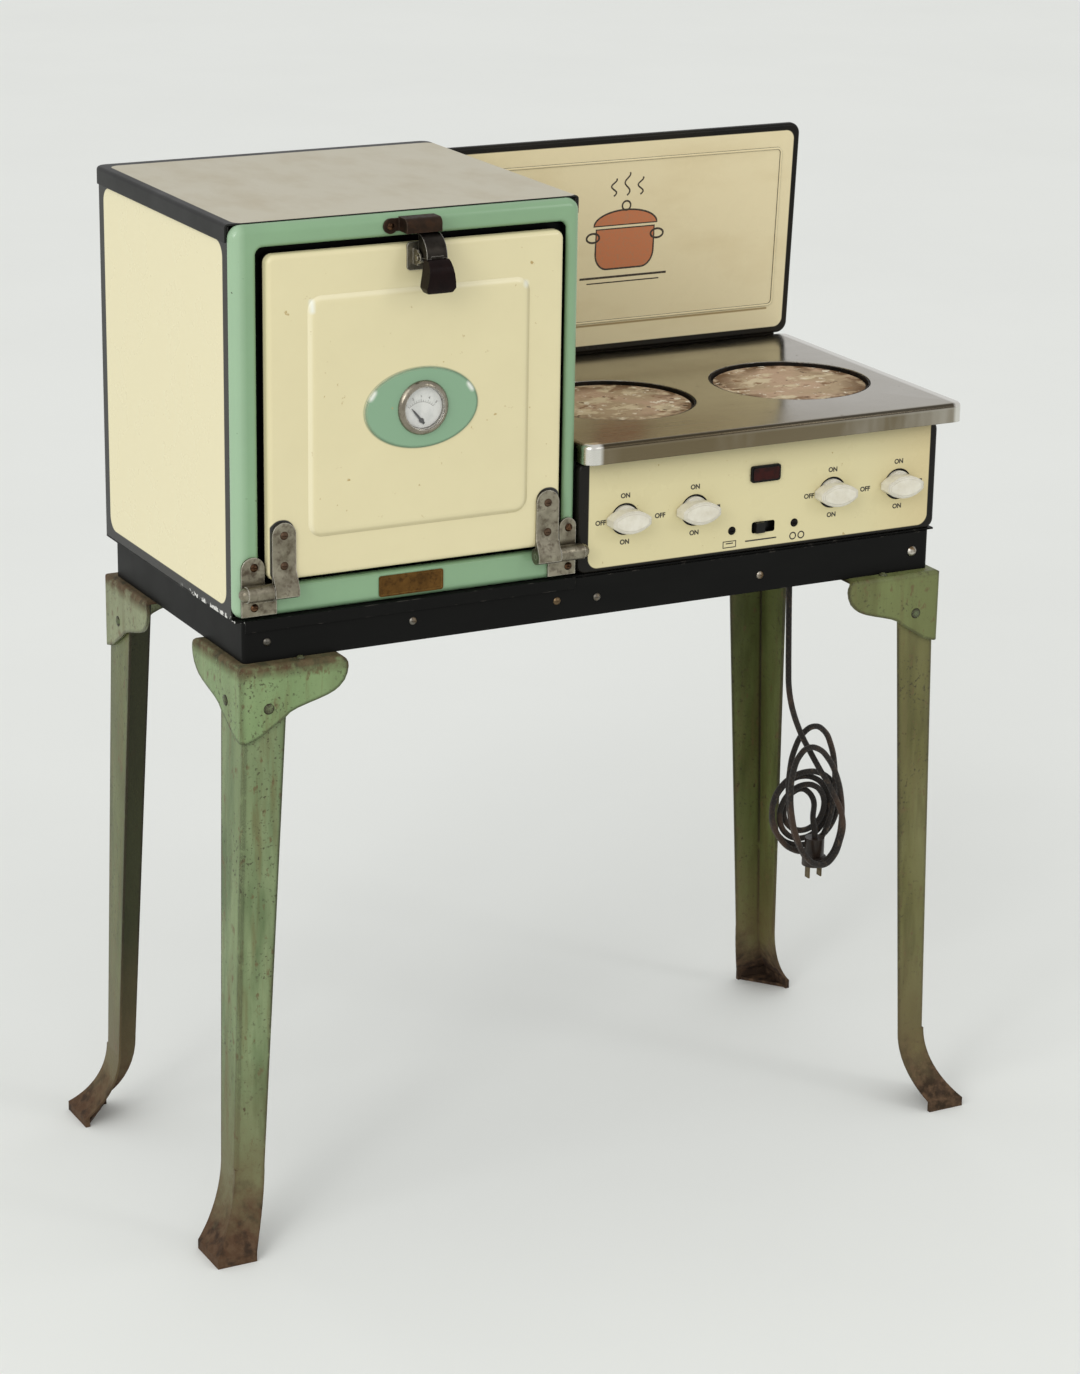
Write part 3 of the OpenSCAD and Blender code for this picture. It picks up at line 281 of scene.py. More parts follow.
def turnDepth(turn):
    # the first turns hang in front of the plug, the later ones behind it
    start, slope = lead["inFront"]
    crossing, crossed = lead["crossing"]
    rear, rearSlope = lead["behind"]
    forward, back, returnSlope = lead["returns"]
    if turn < crossing:
        return start + slope * turn
    if turn < crossed:
        near = start + slope * crossing
        return near + (rear - near) * smooth((turn - crossing) / (crossed - crossing))
    if turn < forward:
        return rear + rearSlope * (turn - crossed)
    deepest = rear + rearSlope * (forward - crossed)
    return deepest - returnSlope * min(turn - forward, 1) + returnSlope * max(turn - back, 0)


def leadLine():
    line = [(x, lead["depth"], z) for x, z in lead["drop"]] + lead["entry"]
    count = int(lead["lastTurn"] * lead["perTurn"])
    for step in range(1, count + 1):
        turn = step / lead["perTurn"]
        middleX, middleZ, wide, high, tilt = turnShape(turn)
        angle, lean = -2 * math.pi * turn, -math.radians(tilt)
        u, v = wide * math.cos(angle), high * math.sin(angle)
        line.append((middleX + u * math.cos(lean) - v * math.sin(lean), turnDepth(turn),
                     middleZ + u * math.sin(lean) + v * math.cos(lean)))
    return [Vector(p) * mm for p in line + lead["exit"]]


braid = {"pitch": 3, "starts": 4, "height": 0.4, "base": "#16120F", "thread": "#322920", "rubbed": "#4A3D2F",
         "brown": "#4B3524"}


def braidMaterial():
    # cotton braid over rubber: dull black-brown with paler threads that cross round the lead
    material, tree, point = newMaterial("cottonBraid")
    along = addNode(tree, "TexCoord", out="UV")
    parts = [addNode(tree, "SeparateXYZ", {"Vector": along}, k) for k in (0, 1)]
    pitches = lead["length"] / (braid["pitch"] * mm)   # drawn coarser than the real 0.5 mm, so that they show
    threads = []
    for way in (1, -1):
        length = maths(tree, "MULTIPLY", parts[0], pitches)
        around = maths(tree, "MULTIPLY", parts[1], braid["starts"] * way)
        wave = maths(tree, "PINGPONG", maths(tree, "ADD", length, around), 0.5)
        threads.append(maths(tree, "MULTIPLY", wave, 2))
    weave = both(tree, *threads)
    tone = paintOver(tree, braid["base"], weave, braid["thread"])
    tone = paintOver(tree, tone, blotches(tree, point, 5, 0.56, 0.7), braid["rubbed"])
    tone = paintOver(tree, tone, both(tree, blotches(tree, point, 60, 0.5, 0.6), 0.6), braid["brown"])
    bump = addNode(tree, "Bump", {"Strength": 0.8, "Distance": braid["height"] * mm, "Height": weave})
    finishMaterial(tree, {"Base Color": tone, "Roughness": 0.85, "Sheen Weight": 0.1, "Normal": bump})
    return material


def makeLead():
    line = leadLine()
    curve = bpy.data.curves.new("braidedLead", "CURVE")
    curve.dimensions = "3D"
    curve.bevel_depth = lead["diameter"] * mm / 2
    curve.bevel_resolution = 4
    curve.use_fill_caps = True
    spline = curve.splines.new("BEZIER")
    spline.bezier_points.add(len(line) - 1)
    spline.resolution_u = 6
    for spot, place in zip(spline.bezier_points, line):
        spot.co = place
        spot.handle_left_type = spot.handle_right_type = "AUTO"
    item = bpy.data.objects.new("braidedLead", curve)
    bpy.context.scene.collection.objects.link(item)
    curve.materials.append(braidMaterial())
    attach(item, "case")
    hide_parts("lead", "lead_hank")


makeLead()
print("braided lead")


# vitreous enamel

colours = {"black": "#151514", "cream": "#E1D7AC", "litSideCream": "#E8DFB8", "shadedTopCream": "#BFB9A5", "jade": "#84A681",
           "oval": "#84A787", "gapShade": "#0B0B0A", "chipWhite": "#DAD9D4", "iron": "#2B241D", "ochre": "#6E5A36"}


def enamel(name, base, fields=(), spots=(), gloss=0.24, mottle="#000000", mottleShare=0.05, shine=0.4, bare=None):
    # glass fired on steel sheet: deep gloss, slight orange peel, chips down to dark iron; dull where bare is 1
    material, tree, point = newMaterial(name)
    shade = both(tree, blotches(tree, point, 90, 0.3, 0.75), mottleShare)
    tone = paintOver(tree, base, shade, mottle)
    for mask, colour in fields:
        tone = paintOver(tree, tone, mask(tree, point), colour)
    rough = ranged(tree, blotches(tree, point, 45, 0.3, 0.8), gloss, gloss + 0.1)
    for mask, colour in spots:
        where = mask(tree, point)
        tone = paintOver(tree, tone, where, colour)
        rough = either(tree, rough, both(tree, where, 0.6))
    peel = relief(tree, blotches(tree, point, 7, 0.2, 0.8), 0.007, 0.8)
    settings = {"Base Color": tone, "Roughness": rough, "IOR": 1.52, "Specular IOR Level": shine, "Normal": peel}
    if bare:
        coat = without(tree, bare(tree, point))
        settings.update({"Coat Weight": coat, "Coat Roughness": gloss, "Coat Normal": peel})
    finishMaterial(tree, settings)
    return material


def specks(size, low, high, where=None):
    return lambda tree, point: both(tree, blotches(tree, point, size, low, high, offset=(3, 1, 7)),
                                    where(tree, point) if where else 1.0)


def panelOf(paint, way, low=0.6, high=0.75):
    # the coloured panel of a sheet, on the faces that look one way
    return lambda tree, point: both(tree, field(tree, point, paint["middle"], paint["size"], paint["corner"]),
                                    facing(tree, way, low, high))


sidePaint = {"middle": (0, 8, 680), "size": (None, 244, 286), "corner": 12, "rightWall": (-30, -25)}
chipRow = {"bottom": (527, 528), "top": (532, 531), "front": (-20, -40)}


def lowerChips(tree, point):
    # row of white chips near the front of the left side's lower edge
    near = both(tree, band(tree, point, "Z", *chipRow["bottom"]), band(tree, point, "Z", *chipRow["top"]),
                band(tree, point, "Y", *chipRow["front"]), facing(tree, (-1, 0, 0)))
    return both(tree, near, blotches(tree, point, 6, 0.52, 0.55))


def ovenShellEnamel():
    # cream panels inside the black edges of the oven's sides; the left one is painted lighter, a painted light from
    # the left
    left = panelOf(sidePaint, (-1, 0, 0))

    def right(tree, point):
        wall = band(tree, point, "X", *sidePaint["rightWall"])
        return both(tree, panelOf(sidePaint, (1, 0, 0))(tree, point), wall)

    return enamel("blackAndCreamEnamel", colours["black"], [(left, colours["litSideCream"]), (right, colours["cream"])],
                  [(lowerChips, colours["chipWhite"])], mottle=colours["ochre"], mottleShare=0.06, shine=0.25)


lidPaint = {"middle": (-169, 5.5, 0), "size": (291, 259, None), "corner": 9, "edge": "#1D1D1C", "stain": "#A99B7C"}


def lidEnamel():
    # black rolled left and back edges round a cream top painted greyer, a painted shade and reflection of grazing
    # light, with stains
    top = panelOf(lidPaint, (0, 0, 1))

    def stains(tree, point):
        return both(tree, blotches(tree, point, 40, 0.46, 0.7, (1, 0.5, 1)), 0.4, top(tree, point))

    return enamel("lidEnamel", lidPaint["edge"], [(top, colours["shadedTopCream"])], [(stains, lidPaint["stain"])],
                  gloss=0.42, shine=0.2)


doorPaint = {"oval": (-167, 0, 686), "seat": (97.9, 64.4), "face": (95.2, 61.7),
             "field": {"middle": (-167, 0, 686), "size": (210, None, 210), "corner": 12},
             "front": (-138.6, -139.3), "skirt": (-129.5, -128.3),
             "straps": [(-284.2, 0, 580), (-53, 0, 580)], "strapSize": (21.4, None, 56.6),
             "seatGreen": "#6B8A6E", "lit": "#F2EBCB", "shaded": "#AFA47A", "strapShadow": "#1C1B19",
             "glint": "#EDF0E6", "speck": "#B39A63", "mottle": "#7A642F"}
doorGlints = {"rim": [((96, 62.5), 0.03), ((90, 57), 0.04)],
              "onRim": [((-209.5, 0, 699.5), (8, None, 8.5), 3.5), ((-124.5, 0, 699.5), (8, None, 8.5), 3.5)],
              "nearCorner": ((-258.5, 0, 773), (3.4, None, 10), 1.6), "farCorner": ((-76, 0, 775), (5, None, 5), 2.4),
              "blur": 3}


def doorEnamel():
    def ovalMask(size):
        return lambda tree, point: both(tree, oval(tree, point, doorPaint["oval"], size),
                                        facing(tree, (0, -1, 0), 0.1, 0.2),
                                        band(tree, point, "Y", *doorPaint["front"]))

    def glints(tree, point):
        # window light caught on the oval's pressed rim and on two corners of the door
        outer, inner = [oval(tree, point, doorPaint["oval"], size, soft) for size, soft in doorGlints["rim"]]
        rim = without(tree, inner, outer)
        onRim = [field(tree, point, *spot, doorGlints["blur"]) for spot in doorGlints["onRim"]]
        near = both(tree, field(tree, point, *doorGlints["nearCorner"], doorGlints["blur"]), 0.8)
        far = both(tree, field(tree, point, *doorGlints["farCorner"], doorGlints["blur"]), 0.6)
        return both(tree, either(tree, both(tree, rim, either(tree, *onRim)), near, far),
                    facing(tree, (0, -1, 0), 0.1, 0.2))

    def slopes(share, *ways):
        # the raised field's edges that look the given ways
        shape = doorPaint["field"]
        return lambda tree, point: both(tree, field(tree, point, shape["middle"], shape["size"], shape["corner"]),
                                        either(tree, *[facing(tree, way, 0.26, 0.46) for way in ways]), share)

    # a dark outline round each hinge strap: painted shadow with dark wear
    def strapOutlines(tree, point):
        spots = [field(tree, point, place, doorPaint["strapSize"], 10) for place in doorPaint["straps"]]
        return both(tree, facing(tree, (0, -1, 0)), either(tree, *spots))

    # the door's skirt, deep in the gap, is painted black as painted shade
    def inside(tree, point):
        return band(tree, point, "Y", *doorPaint["skirt"])

    brown = specks(9, 0.69, 0.75, lambda tree, point: facing(tree, (0, -1, 0)))
    return enamel("creamDoorEnamel", colours["cream"],
                  [(slopes(0.5, (-1, 0, 0), (0, 0, 1)), doorPaint["lit"]),
                   (slopes(0.4, (1, 0, 0), (0, 0, -1)), doorPaint["shaded"]),
                   (strapOutlines, doorPaint["strapShadow"]), (ovalMask(doorPaint["seat"]), doorPaint["seatGreen"]),
                   (ovalMask(doorPaint["face"]), colours["oval"]), (glints, doorPaint["glint"]),
                   (inside, colours["gapShade"])],
                  [(brown, doorPaint["speck"])], mottle=doorPaint["mottle"], mottleShare=0.07, shine=0.0, bare=inside)


framePaint = {"middle": (-168.5, 0, 687), "size": (265.5, None, 266.5), "corner": 6.6, "wall": (-125.5, -124.5),
              "sill": (-129.2, -127.8), "overSill": (556, 558), "leftEdge": (-309, -315),
              "pale": "#8BB087", "lit": "#B4D0B1", "rim": "#A9C4A5"}


def frameEnamel():
    def opening(tree, point):
        # the opening's walls are painted black inside as painted shade in the gap; the lower one stays green further
        # in
        deep = either(tree, both(tree, band(tree, point, "Y", *framePaint["sill"]),
                                 band(tree, point, "Z", *framePaint["overSill"])),
                      band(tree, point, "Y", *framePaint["wall"]))
        return both(tree, field(tree, point, framePaint["middle"], framePaint["size"], framePaint["corner"]), deep)

    # paler green in patches along the rounded edges: a painted highlight
    def rimHighlight(tree, point):
        return both(tree, edges(tree, 1.6), blotches(tree, point, 14, 0.5, 0.6), 0.6)

    def pale(tree, point):
        return both(tree, blotches(tree, point, 60, 0.45, 0.7), 0.35)

    def lit(tree, point):
        return both(tree, band(tree, point, "X", *framePaint["leftEdge"]), 0.45)

    return enamel("jadeEnamel", colours["jade"],
                  [(pale, framePaint["pale"]), (lit, framePaint["lit"]), (opening, colours["gapShade"])],
                  [(rimHighlight, framePaint["rim"]), (specks(10, 0.7, 0.72), colours["iron"])],
                  gloss=0.2, shine=0.0, bare=opening)


panelPaint = {"middle": (150.5, 0, 590), "size": (326, None, 113), "corner": 9, "rightEnd": (250, 325),
              "underHob": (596, 628), "cream": "#DAD0A4", "tan": "#C9AE7C", "shadow": "#7E7250", "speck": "#A58B5A"}


def panelEnamel():
    cream = panelOf(panelPaint, (0, -1, 0), 0.5, 0.9)

    def tan(tree, point):
        return both(tree, cream(tree, point), band(tree, point, "X", *panelPaint["rightEnd"]), 0.4)

    def under(tree, point):
        return both(tree, cream(tree, point), band(tree, point, "Z", *panelPaint["underHob"]), 0.3)

    return enamel("creamPanelEnamel", colours["black"],
                  [(cream, panelPaint["cream"]), (tan, panelPaint["tan"]), (under, panelPaint["shadow"])],
                  [(specks(8, 0.7, 0.75, cream), panelPaint["speck"])],
                  mottle=colours["ochre"], mottleShare=0.06, shine=0.15)


splashPaint = {"middle": (158, 0, 736), "size": (347, None, 179), "corner": 8, "bead": (158, 0, 664.4),
               "beadSize": (314, None, 1.8), "cream": "#E5D8B1", "beadShadow": "#8F7648", "worn": "#C3AB78"}


def splashEnamel():
    cream = panelOf(splashPaint, (0, -1, 0), 0.5, 0.8)

    def worn(tree, point):
        return both(tree, blotches(tree, point, 50, 0.5, 0.8, (0.4, 1, 1)), 0.3, cream(tree, point))

    def lowerBead(tree, point):
        return both(tree, field(tree, point, splashPaint["bead"], splashPaint["beadSize"], 0.8), 0.8)

    return enamel("creamSplashEnamel", colours["black"],
                  [(cream, splashPaint["cream"]), (lowerBead, splashPaint["beadShadow"])],
                  [(worn, splashPaint["worn"])], mottle=colours["ochre"], mottleShare=0.08, shine=0.1)


rangePaint = {"middle": (0, 8, 578), "size": (None, 244, 82), "corner": 10, "rightWall": (318, 320)}


def rangeEnamel():
    def side(tree, point):
        wall = band(tree, point, "X", *rangePaint["rightWall"])
        return both(tree, panelOf(rangePaint, (1, 0, 0))(tree, point), wall)

    return enamel("rangeShellEnamel", colours["black"], [(side, colours["cream"])])


def apronEnamel():
    def dust(tree, point):
        return both(tree, blotches(tree, point, 40, 0.45, 0.75, (0.3, 1, 1)), 0.35)

    def rubbed(tree, point):
        return both(tree, edges(tree, 1.2), blotches(tree, point, 12, 0.56, 0.62), 0.8)

    return enamel("blackApronEnamel", colours["black"], [(dust, "#1E1E1C")],
                  [(rubbed, "#5D5852"), (lowerChips, colours["chipWhite"])], gloss=0.32, shine=0.05)


# painted and plain metals

legWear = {"streak": "#67603B", "worn": "#655437", "pit": "#3A3323", "spot": "#3B2A1C", "shade": "#34351C",
           "edge": "#2B2117", "tan": "#66573A", "lightRust": "#5A4532", "darkRust": "#37291D",
           "paleFrom": (330, 470), "ledge": (482, 491), "ragged": 0.05, "rustUpTo": (0.085, 0.045),
           "tanUpTo": (0.2, 0.07), "pitDepth": 0.12}   # ragged, rust and tan heights in metres


def legPaint(name, base, light, dark, rustBase="#4E3826", ledge=False, shade=None):
    # brushed stove paint on steel sheet: chalky green, pitted and streaked, dark brown along its edges as rust with
    # painted shade, and rusty at the feet
    material, tree, point = newMaterial(name)
    tone = paintOver(tree, base, blotches(tree, point, 50, 0.4, 0.66, (1, 1, 0.3)), light)
    tone = paintOver(tree, tone, blotches(tree, point, 26, 0.46, 0.66, (1, 1, 0.16), (5, 2, 1)), dark)
    tone = paintOver(tree, tone, both(tree, band(tree, point, "Z", *legWear["paleFrom"]), 0.4), light)
    streaks = both(tree, blotches(tree, point, 12, 0.54, 0.68, (1, 1, 0.1)), 0.6)
    tone = paintOver(tree, tone, streaks, legWear["streak"])
    worn = both(tree, blotches(tree, point, 7, 0.6, 0.68, (1, 1, 0.5), (2, 6, 3)), 0.75)
    tone = paintOver(tree, tone, worn, legWear["worn"])
    pits = both(tree, blotches(tree, point, 3, 0.58, 0.66, offset=(9, 4, 2)), blotches(tree, point, 40, 0.4, 0.6))
    tone = paintOver(tree, tone, both(tree, pits, 0.8), legWear["pit"])
    spots = blotches(tree, point, 9, 0.69, 0.72, (1, 1, 0.6), (1, 3, 8))
    tone = paintOver(tree, tone, both(tree, spots, 0.85), legWear["spot"])
    if shade:
        tone = paintOver(tree, tone, both(tree, facing(tree, shade, 0.7, 0.9), 0.85), legWear["shade"])
    # dark brown along the sheet's edges: rust with painted shade
    edge = both(tree, edges(tree, 4.5, 0.004, 0.08), blotches(tree, point, 12, 0.3, 0.42))
    tone = paintOver(tree, tone, edge, legWear["edge"])
    height = addNode(tree, "SeparateXYZ", {"Vector": point}, "Z")
    ragged = maths(tree, "MULTIPLY_ADD", blotches(tree, point, 22, 0.2, 0.8), legWear["ragged"], height)
    rust, tan = [rising(tree, ragged, *legWear[reach]) for reach in ("rustUpTo", "tanUpTo")]
    tone = paintOver(tree, tone, both(tree, tan, 0.8), legWear["tan"])
    if ledge:
        upper = both(tree, band(tree, point, "Z", *legWear["ledge"]), blotches(tree, point, 14, 0.3, 0.5))
        top = both(tree, facing(tree, (0, 0, 1), 0.5, 0.8), 0.95)
        rust = both(tree, either(tree, upper, top), 0.85)
    rustTone = paintOver(tree, rustBase, blotches(tree, point, 8, 0.4, 0.6), legWear["lightRust"])
    darker = blotches(tree, point, 13, 0.5, 0.64, offset=(3, 3, 1))
    rustTone = paintOver(tree, rustTone, darker, legWear["darkRust"])
    tone = paintOver(tree, tone, rust, rustTone)
    grain = without(tree, pits, blotches(tree, point, 3, 0.3, 0.7))
    finishMaterial(tree, {"Base Color": tone, "Roughness": ranged(tree, rust, 0.4, 0.85), "Specular IOR Level": 0.25,
                          "Normal": relief(tree, grain, legWear["pitDepth"], 1.2)})
    return material


hob = {"base": "#ACA79C", "cloud": "#999386", "tarnishAndReflection": "#7D715A", "stain": "#5E4F38", "lip": "#6F634B",
       "frontEdgeReflection": "#3B3325", "cornerHighlight": "#DAD8D1", "tarnishAndReflectionFront": (0, -110), "tarnishAndReflectionLeft": (260, 90),
       "lipFrom": (637, 634), "frontFace": (-125, -130), "lineFrom": (636, 636.4),
       "leftCorner": [("X", -6, -10), ("Y", -133, -136)], "rightEdge": (327, 330), "scratch": 0.003}


def nickelSheet():
    # nickel plated sheet, polished and then worn: hairline scratches along X; darker brown towards the front-left,
    # tarnish with a painted dark reflection; the front lip and a line along the front edge painted dark as painted
    # reflection; painted highlights on the front corners
    material, tree, point = newMaterial("polishedNickel")
    hair = blotches(tree, point, 1.2, 0.3, 0.7, (0.01, 1, 1))
    cloud = blotches(tree, point, 70, 0.35, 0.75)
    tone = paintOver(tree, hob["base"], both(tree, cloud, 0.5), hob["cloud"])
    # darker brown towards the front-left: tarnish with a painted dark reflection
    tarnishAndReflection = both(tree, band(tree, point, "Y", *hob["tarnishAndReflectionFront"]), band(tree, point, "X", *hob["tarnishAndReflectionLeft"]), 0.85)
    tone = paintOver(tree, tone, tarnishAndReflection, hob["tarnishAndReflection"])
    tone = paintOver(tree, tone, blotches(tree, point, 6, 0.68, 0.72), hob["stain"])
    # front lip and a line along the front edge: painted dark reflection
    lip = both(tree, band(tree, point, "Z", *hob["lipFrom"]), blotches(tree, point, 60, 0.3, 0.5, (1, 1, 0.2)), 0.85)
    tone = paintOver(tree, tone, lip, hob["lip"])
    front = both(tree, facing(tree, (0, -1, 0), 0.3, 0.5), band(tree, point, "Y", *hob["frontFace"]))
    line = both(tree, front, band(tree, point, "Z", *hob["lineFrom"]), 0.9)
    tone = paintOver(tree, tone, line, hob["frontEdgeReflection"])
    # painted highlights on the rounded front corners
    nearLeft = both(tree, *[band(tree, point, *side) for side in hob["leftCorner"]])
    cornerHighlight = either(tree, nearLeft, band(tree, point, "X", *hob["rightEdge"]))
    tone = paintOver(tree, tone, cornerHighlight, hob["cornerHighlight"])
    rough = ranged(tree, hair, 0.1, 0.2)
    for mask, share in ((cloud, 0.06), (tarnishAndReflection, 0.1)):
        rough = maths(tree, "MULTIPLY_ADD", mask, share, rough)
    finishMaterial(tree, {"Base Color": tone, "Metallic": 1.0, "Roughness": rough,
                          "Normal": relief(tree, hair, hob["scratch"], 1.4)})
    return material


# black painted on the liners' fronts: a painted shade in the gap round the door
linerGapShade = {"colour": "#0A0A09", "liner": (-112, -118)}


def oldMetal(name, base, dark, stain, rough=0.38, depth=0.06, stained=0.45, edge=None, wearAndHighlightWidth=0.8, gapShadeFrom=None):
    # plated steel after years of use: dull, pitted, brown in the hollows; paler at the edges, worn on some parts and
    # a painted highlight on others; painted black in front of a given depth as painted shade in the gap
    material, tree, point = newMaterial(name)
    tone = paintOver(tree, base, blotches(tree, point, 12, 0.35, 0.7), dark)
    marks = blotches(tree, point, 5, 0.5, 0.68, offset=(2, 8, 5))
    tone = paintOver(tree, tone, both(tree, marks, stained), stain)
    tone = paintOver(tree, tone, edges(tree, wearAndHighlightWidth, 0.02, 0.25), edge or base)
    if gapShadeFrom:
        tone = paintOver(tree, tone, band(tree, point, "Y", *gapShadeFrom), linerGapShade["colour"])
    finishMaterial(tree, {"Base Color": tone, "Metallic": 0.9, "Roughness": ranged(tree, marks, rough, rough + 0.25),
                          "Normal": relief(tree, marks, depth, 0.6)})
    return material


screws = {"nickel": "#C9C4B9", "dulled": "#857D70", "left": "#55514A", "brown": "#6E5C45", "farLeft": "#1C1B19",
          "rust": "#6B4E38", "deepRust": "#36261B", "japan": "#100E0C", "leftFrom": (60, 50),
          "farLeftFrom": (-290, -310), "overApron": (533, 535), "panelFrom": (90, 100)}


def caseScrews():
    # nickel screw heads along the apron, dull on the left; rusty on the hinges and japanned black on the panel
    material, tree, point = newMaterial("screwHeads")
    tone = paintOver(tree, screws["nickel"], blotches(tree, point, 5, 0.45, 0.65), screws["dulled"])
    left = both(tree, band(tree, point, "X", *screws["leftFrom"]), 0.8)
    tone = paintOver(tree, tone, left, screws["left"])
    tone = paintOver(tree, tone, blotches(tree, point, 90, 0.52, 0.54), screws["brown"])
    farLeft = both(tree, band(tree, point, "X", *screws["farLeftFrom"]), 0.85)
    tone = paintOver(tree, tone, farLeft, screws["farLeft"])
    upper = band(tree, point, "Z", *screws["overApron"])
    rusty = paintOver(tree, screws["rust"], blotches(tree, point, 4, 0.45, 0.6), screws["deepRust"])
    tone = paintOver(tree, tone, upper, rusty)
    panel = both(tree, upper, band(tree, point, "X", *screws["panelFrom"]))
    tone = paintOver(tree, tone, panel, screws["japan"])
    finishMaterial(tree, {"Base Color": tone, "Metallic": without(tree, panel), "Roughness": 0.36,
                          "Specular IOR Level": 0.1,
                          "Normal": relief(tree, blotches(tree, point, 2, 0.3, 0.7), 0.05, 0.5)})
    return material


plate = {"base": "#AB9678", "pink": "#B79C82", "sand": "#CBBB9B", "burntRim": "#6E5439", "scorched": "#86694C",
         "flake": "#DDD3BC", "chip": "#4F3A27", "wall": "#3B3026", "middles": [(72, -16, 0), (244, -16, 0)],
         "unburnt": ((100, 100, None), 50, 22), "wallFrom": (636.2, 635.4), "grain": 0.3}


def castPlate():
    # fired refractory disc: chalky pink and tan mottle, scorched blotches, chips and a dark burnt rim
    material, tree, point = newMaterial("firedRefractory")
    tone = paintOver(tree, plate["base"], blotches(tree, point, 60, 0.44, 0.56), plate["pink"])
    sandy = blotches(tree, point, 26, 0.54, 0.6, (1, 1.4, 1), (4, 4, 0))
    tone = paintOver(tree, tone, sandy, plate["sand"])
    middles = [field(tree, point, middle, *plate["unburnt"]) for middle in plate["middles"]]
    rim = without(tree, either(tree, *middles))
    burnt = both(tree, rim, blotches(tree, point, 22, 0.44, 0.54, offset=(1, 7, 0)))
    tone = paintOver(tree, tone, burnt, plate["burntRim"])
    scorched = blotches(tree, point, 16, 0.6, 0.66, (1, 1.4, 1), (5, 2, 0))
    tone = paintOver(tree, tone, scorched, plate["scorched"])
    tone = paintOver(tree, tone, blotches(tree, point, 9, 0.62, 0.66, offset=(6, 1, 0)), plate["flake"])
    tone = paintOver(tree, tone, blotches(tree, point, 10, 0.66, 0.69, offset=(8, 2, 0)), plate["chip"])
    tone = paintOver(tree, tone, band(tree, point, "Z", *plate["wallFrom"]), plate["wall"])
    grain = maths(tree, "ADD", blotches(tree, point, 4, 0.3, 0.7),
                  blotches(tree, point, 12, 0.35, 0.65, offset=(1, 7, 0)))
    finishMaterial(tree, {"Base Color": tone, "Roughness": 0.9, "Specular IOR Level": 0.3,
                          "Normal": relief(tree, grain, plate["grain"], 0.6)})
    return material


def moulded(name, base, other, gloss, depth=0.01, radius=1.0, soft=0.0, shine=0.4):
    # moulded plastic or ceramic: smooth, faintly cloudy, softened edges
    material, tree, point = newMaterial(name)
    tone = paintOver(tree, base, blotches(tree, point, 9, 0.35, 0.75), other)
    tone = paintOver(tree, tone, both(tree, edges(tree, 0.7), 0.35), other)
    finishMaterial(tree, {"Base Color": tone, "Roughness": gloss, "IOR": 1.5, "Specular IOR Level": shine,
                          "Subsurface Weight": soft, "Subsurface Radius": (0.002, 0.002, 0.0015),
                          "Normal": relief(tree, blotches(tree, point, 2, 0.3, 0.7), depth, radius)})
    return material


def windowGlass():
    # flat gauge glass, mostly seen through
    material, tree, point = newMaterial("gaugeGlass")
    smear = ranged(tree, blotches(tree, point, 8, 0.3, 0.8), 0.04, 0.12)
    finishMaterial(tree, {"Base Color": "#F4F6F5", "Roughness": smear, "IOR": 1.5, "Alpha": 0.06})
    return material


windowPaint = {"middle": (152, 0, 596), "size": (24.4, None, 10.4), "corner": 1.5, "frame": "#0E0C0B",
               "red": "#350D09", "darkRed": "#1E0805"}


def jewelWindow():
    # cast red glass in a black frame
    material, tree, point = newMaterial("redGlassAndBlackFrame")
    glass = panelOf(windowPaint, (0, -1, 0))(tree, point)
    red = paintOver(tree, windowPaint["red"], blotches(tree, point, 12, 0.4, 0.6), windowPaint["darkRed"])
    tone = paintOver(tree, windowPaint["frame"], glass, red)
    finishMaterial(tree, {"Base Color": tone, "Roughness": 0.2, "IOR": 1.52, "Specular IOR Level": 0.15,
                          "Normal": relief(tree, blotches(tree, point, 6, 0.3, 0.7), 0.05, 0.5)})
    return material


def dialEnamel():
    # white fired dial, faintly foxed
    material, tree, point = newMaterial("whiteDialEnamel")
    tone = paintOver(tree, "#DCDCD6", blotches(tree, point, 9, 0.45, 0.75), "#C3C4BF")
    finishMaterial(tree, {"Base Color": tone, "Roughness": 0.4,
                          "Normal": relief(tree, blotches(tree, point, 3, 0.3, 0.7), 0.01)})
    return material


def printInk(name, base):
    # screen printed ink with thin spots
    material, tree, point = newMaterial(name)
    tone = paintOver(tree, base, both(tree, blotches(tree, point, 2.5, 0.5, 0.75), 0.4), "#8B8266")
    bump = addNode(tree, "Bump", {"Distance": 0.01 * mm, "Height": blotches(tree, point, 1, 0.3, 0.7)})
    finishMaterial(tree, {"Base Color": tone, "Roughness": 0.5, "Normal": bump})
    return material


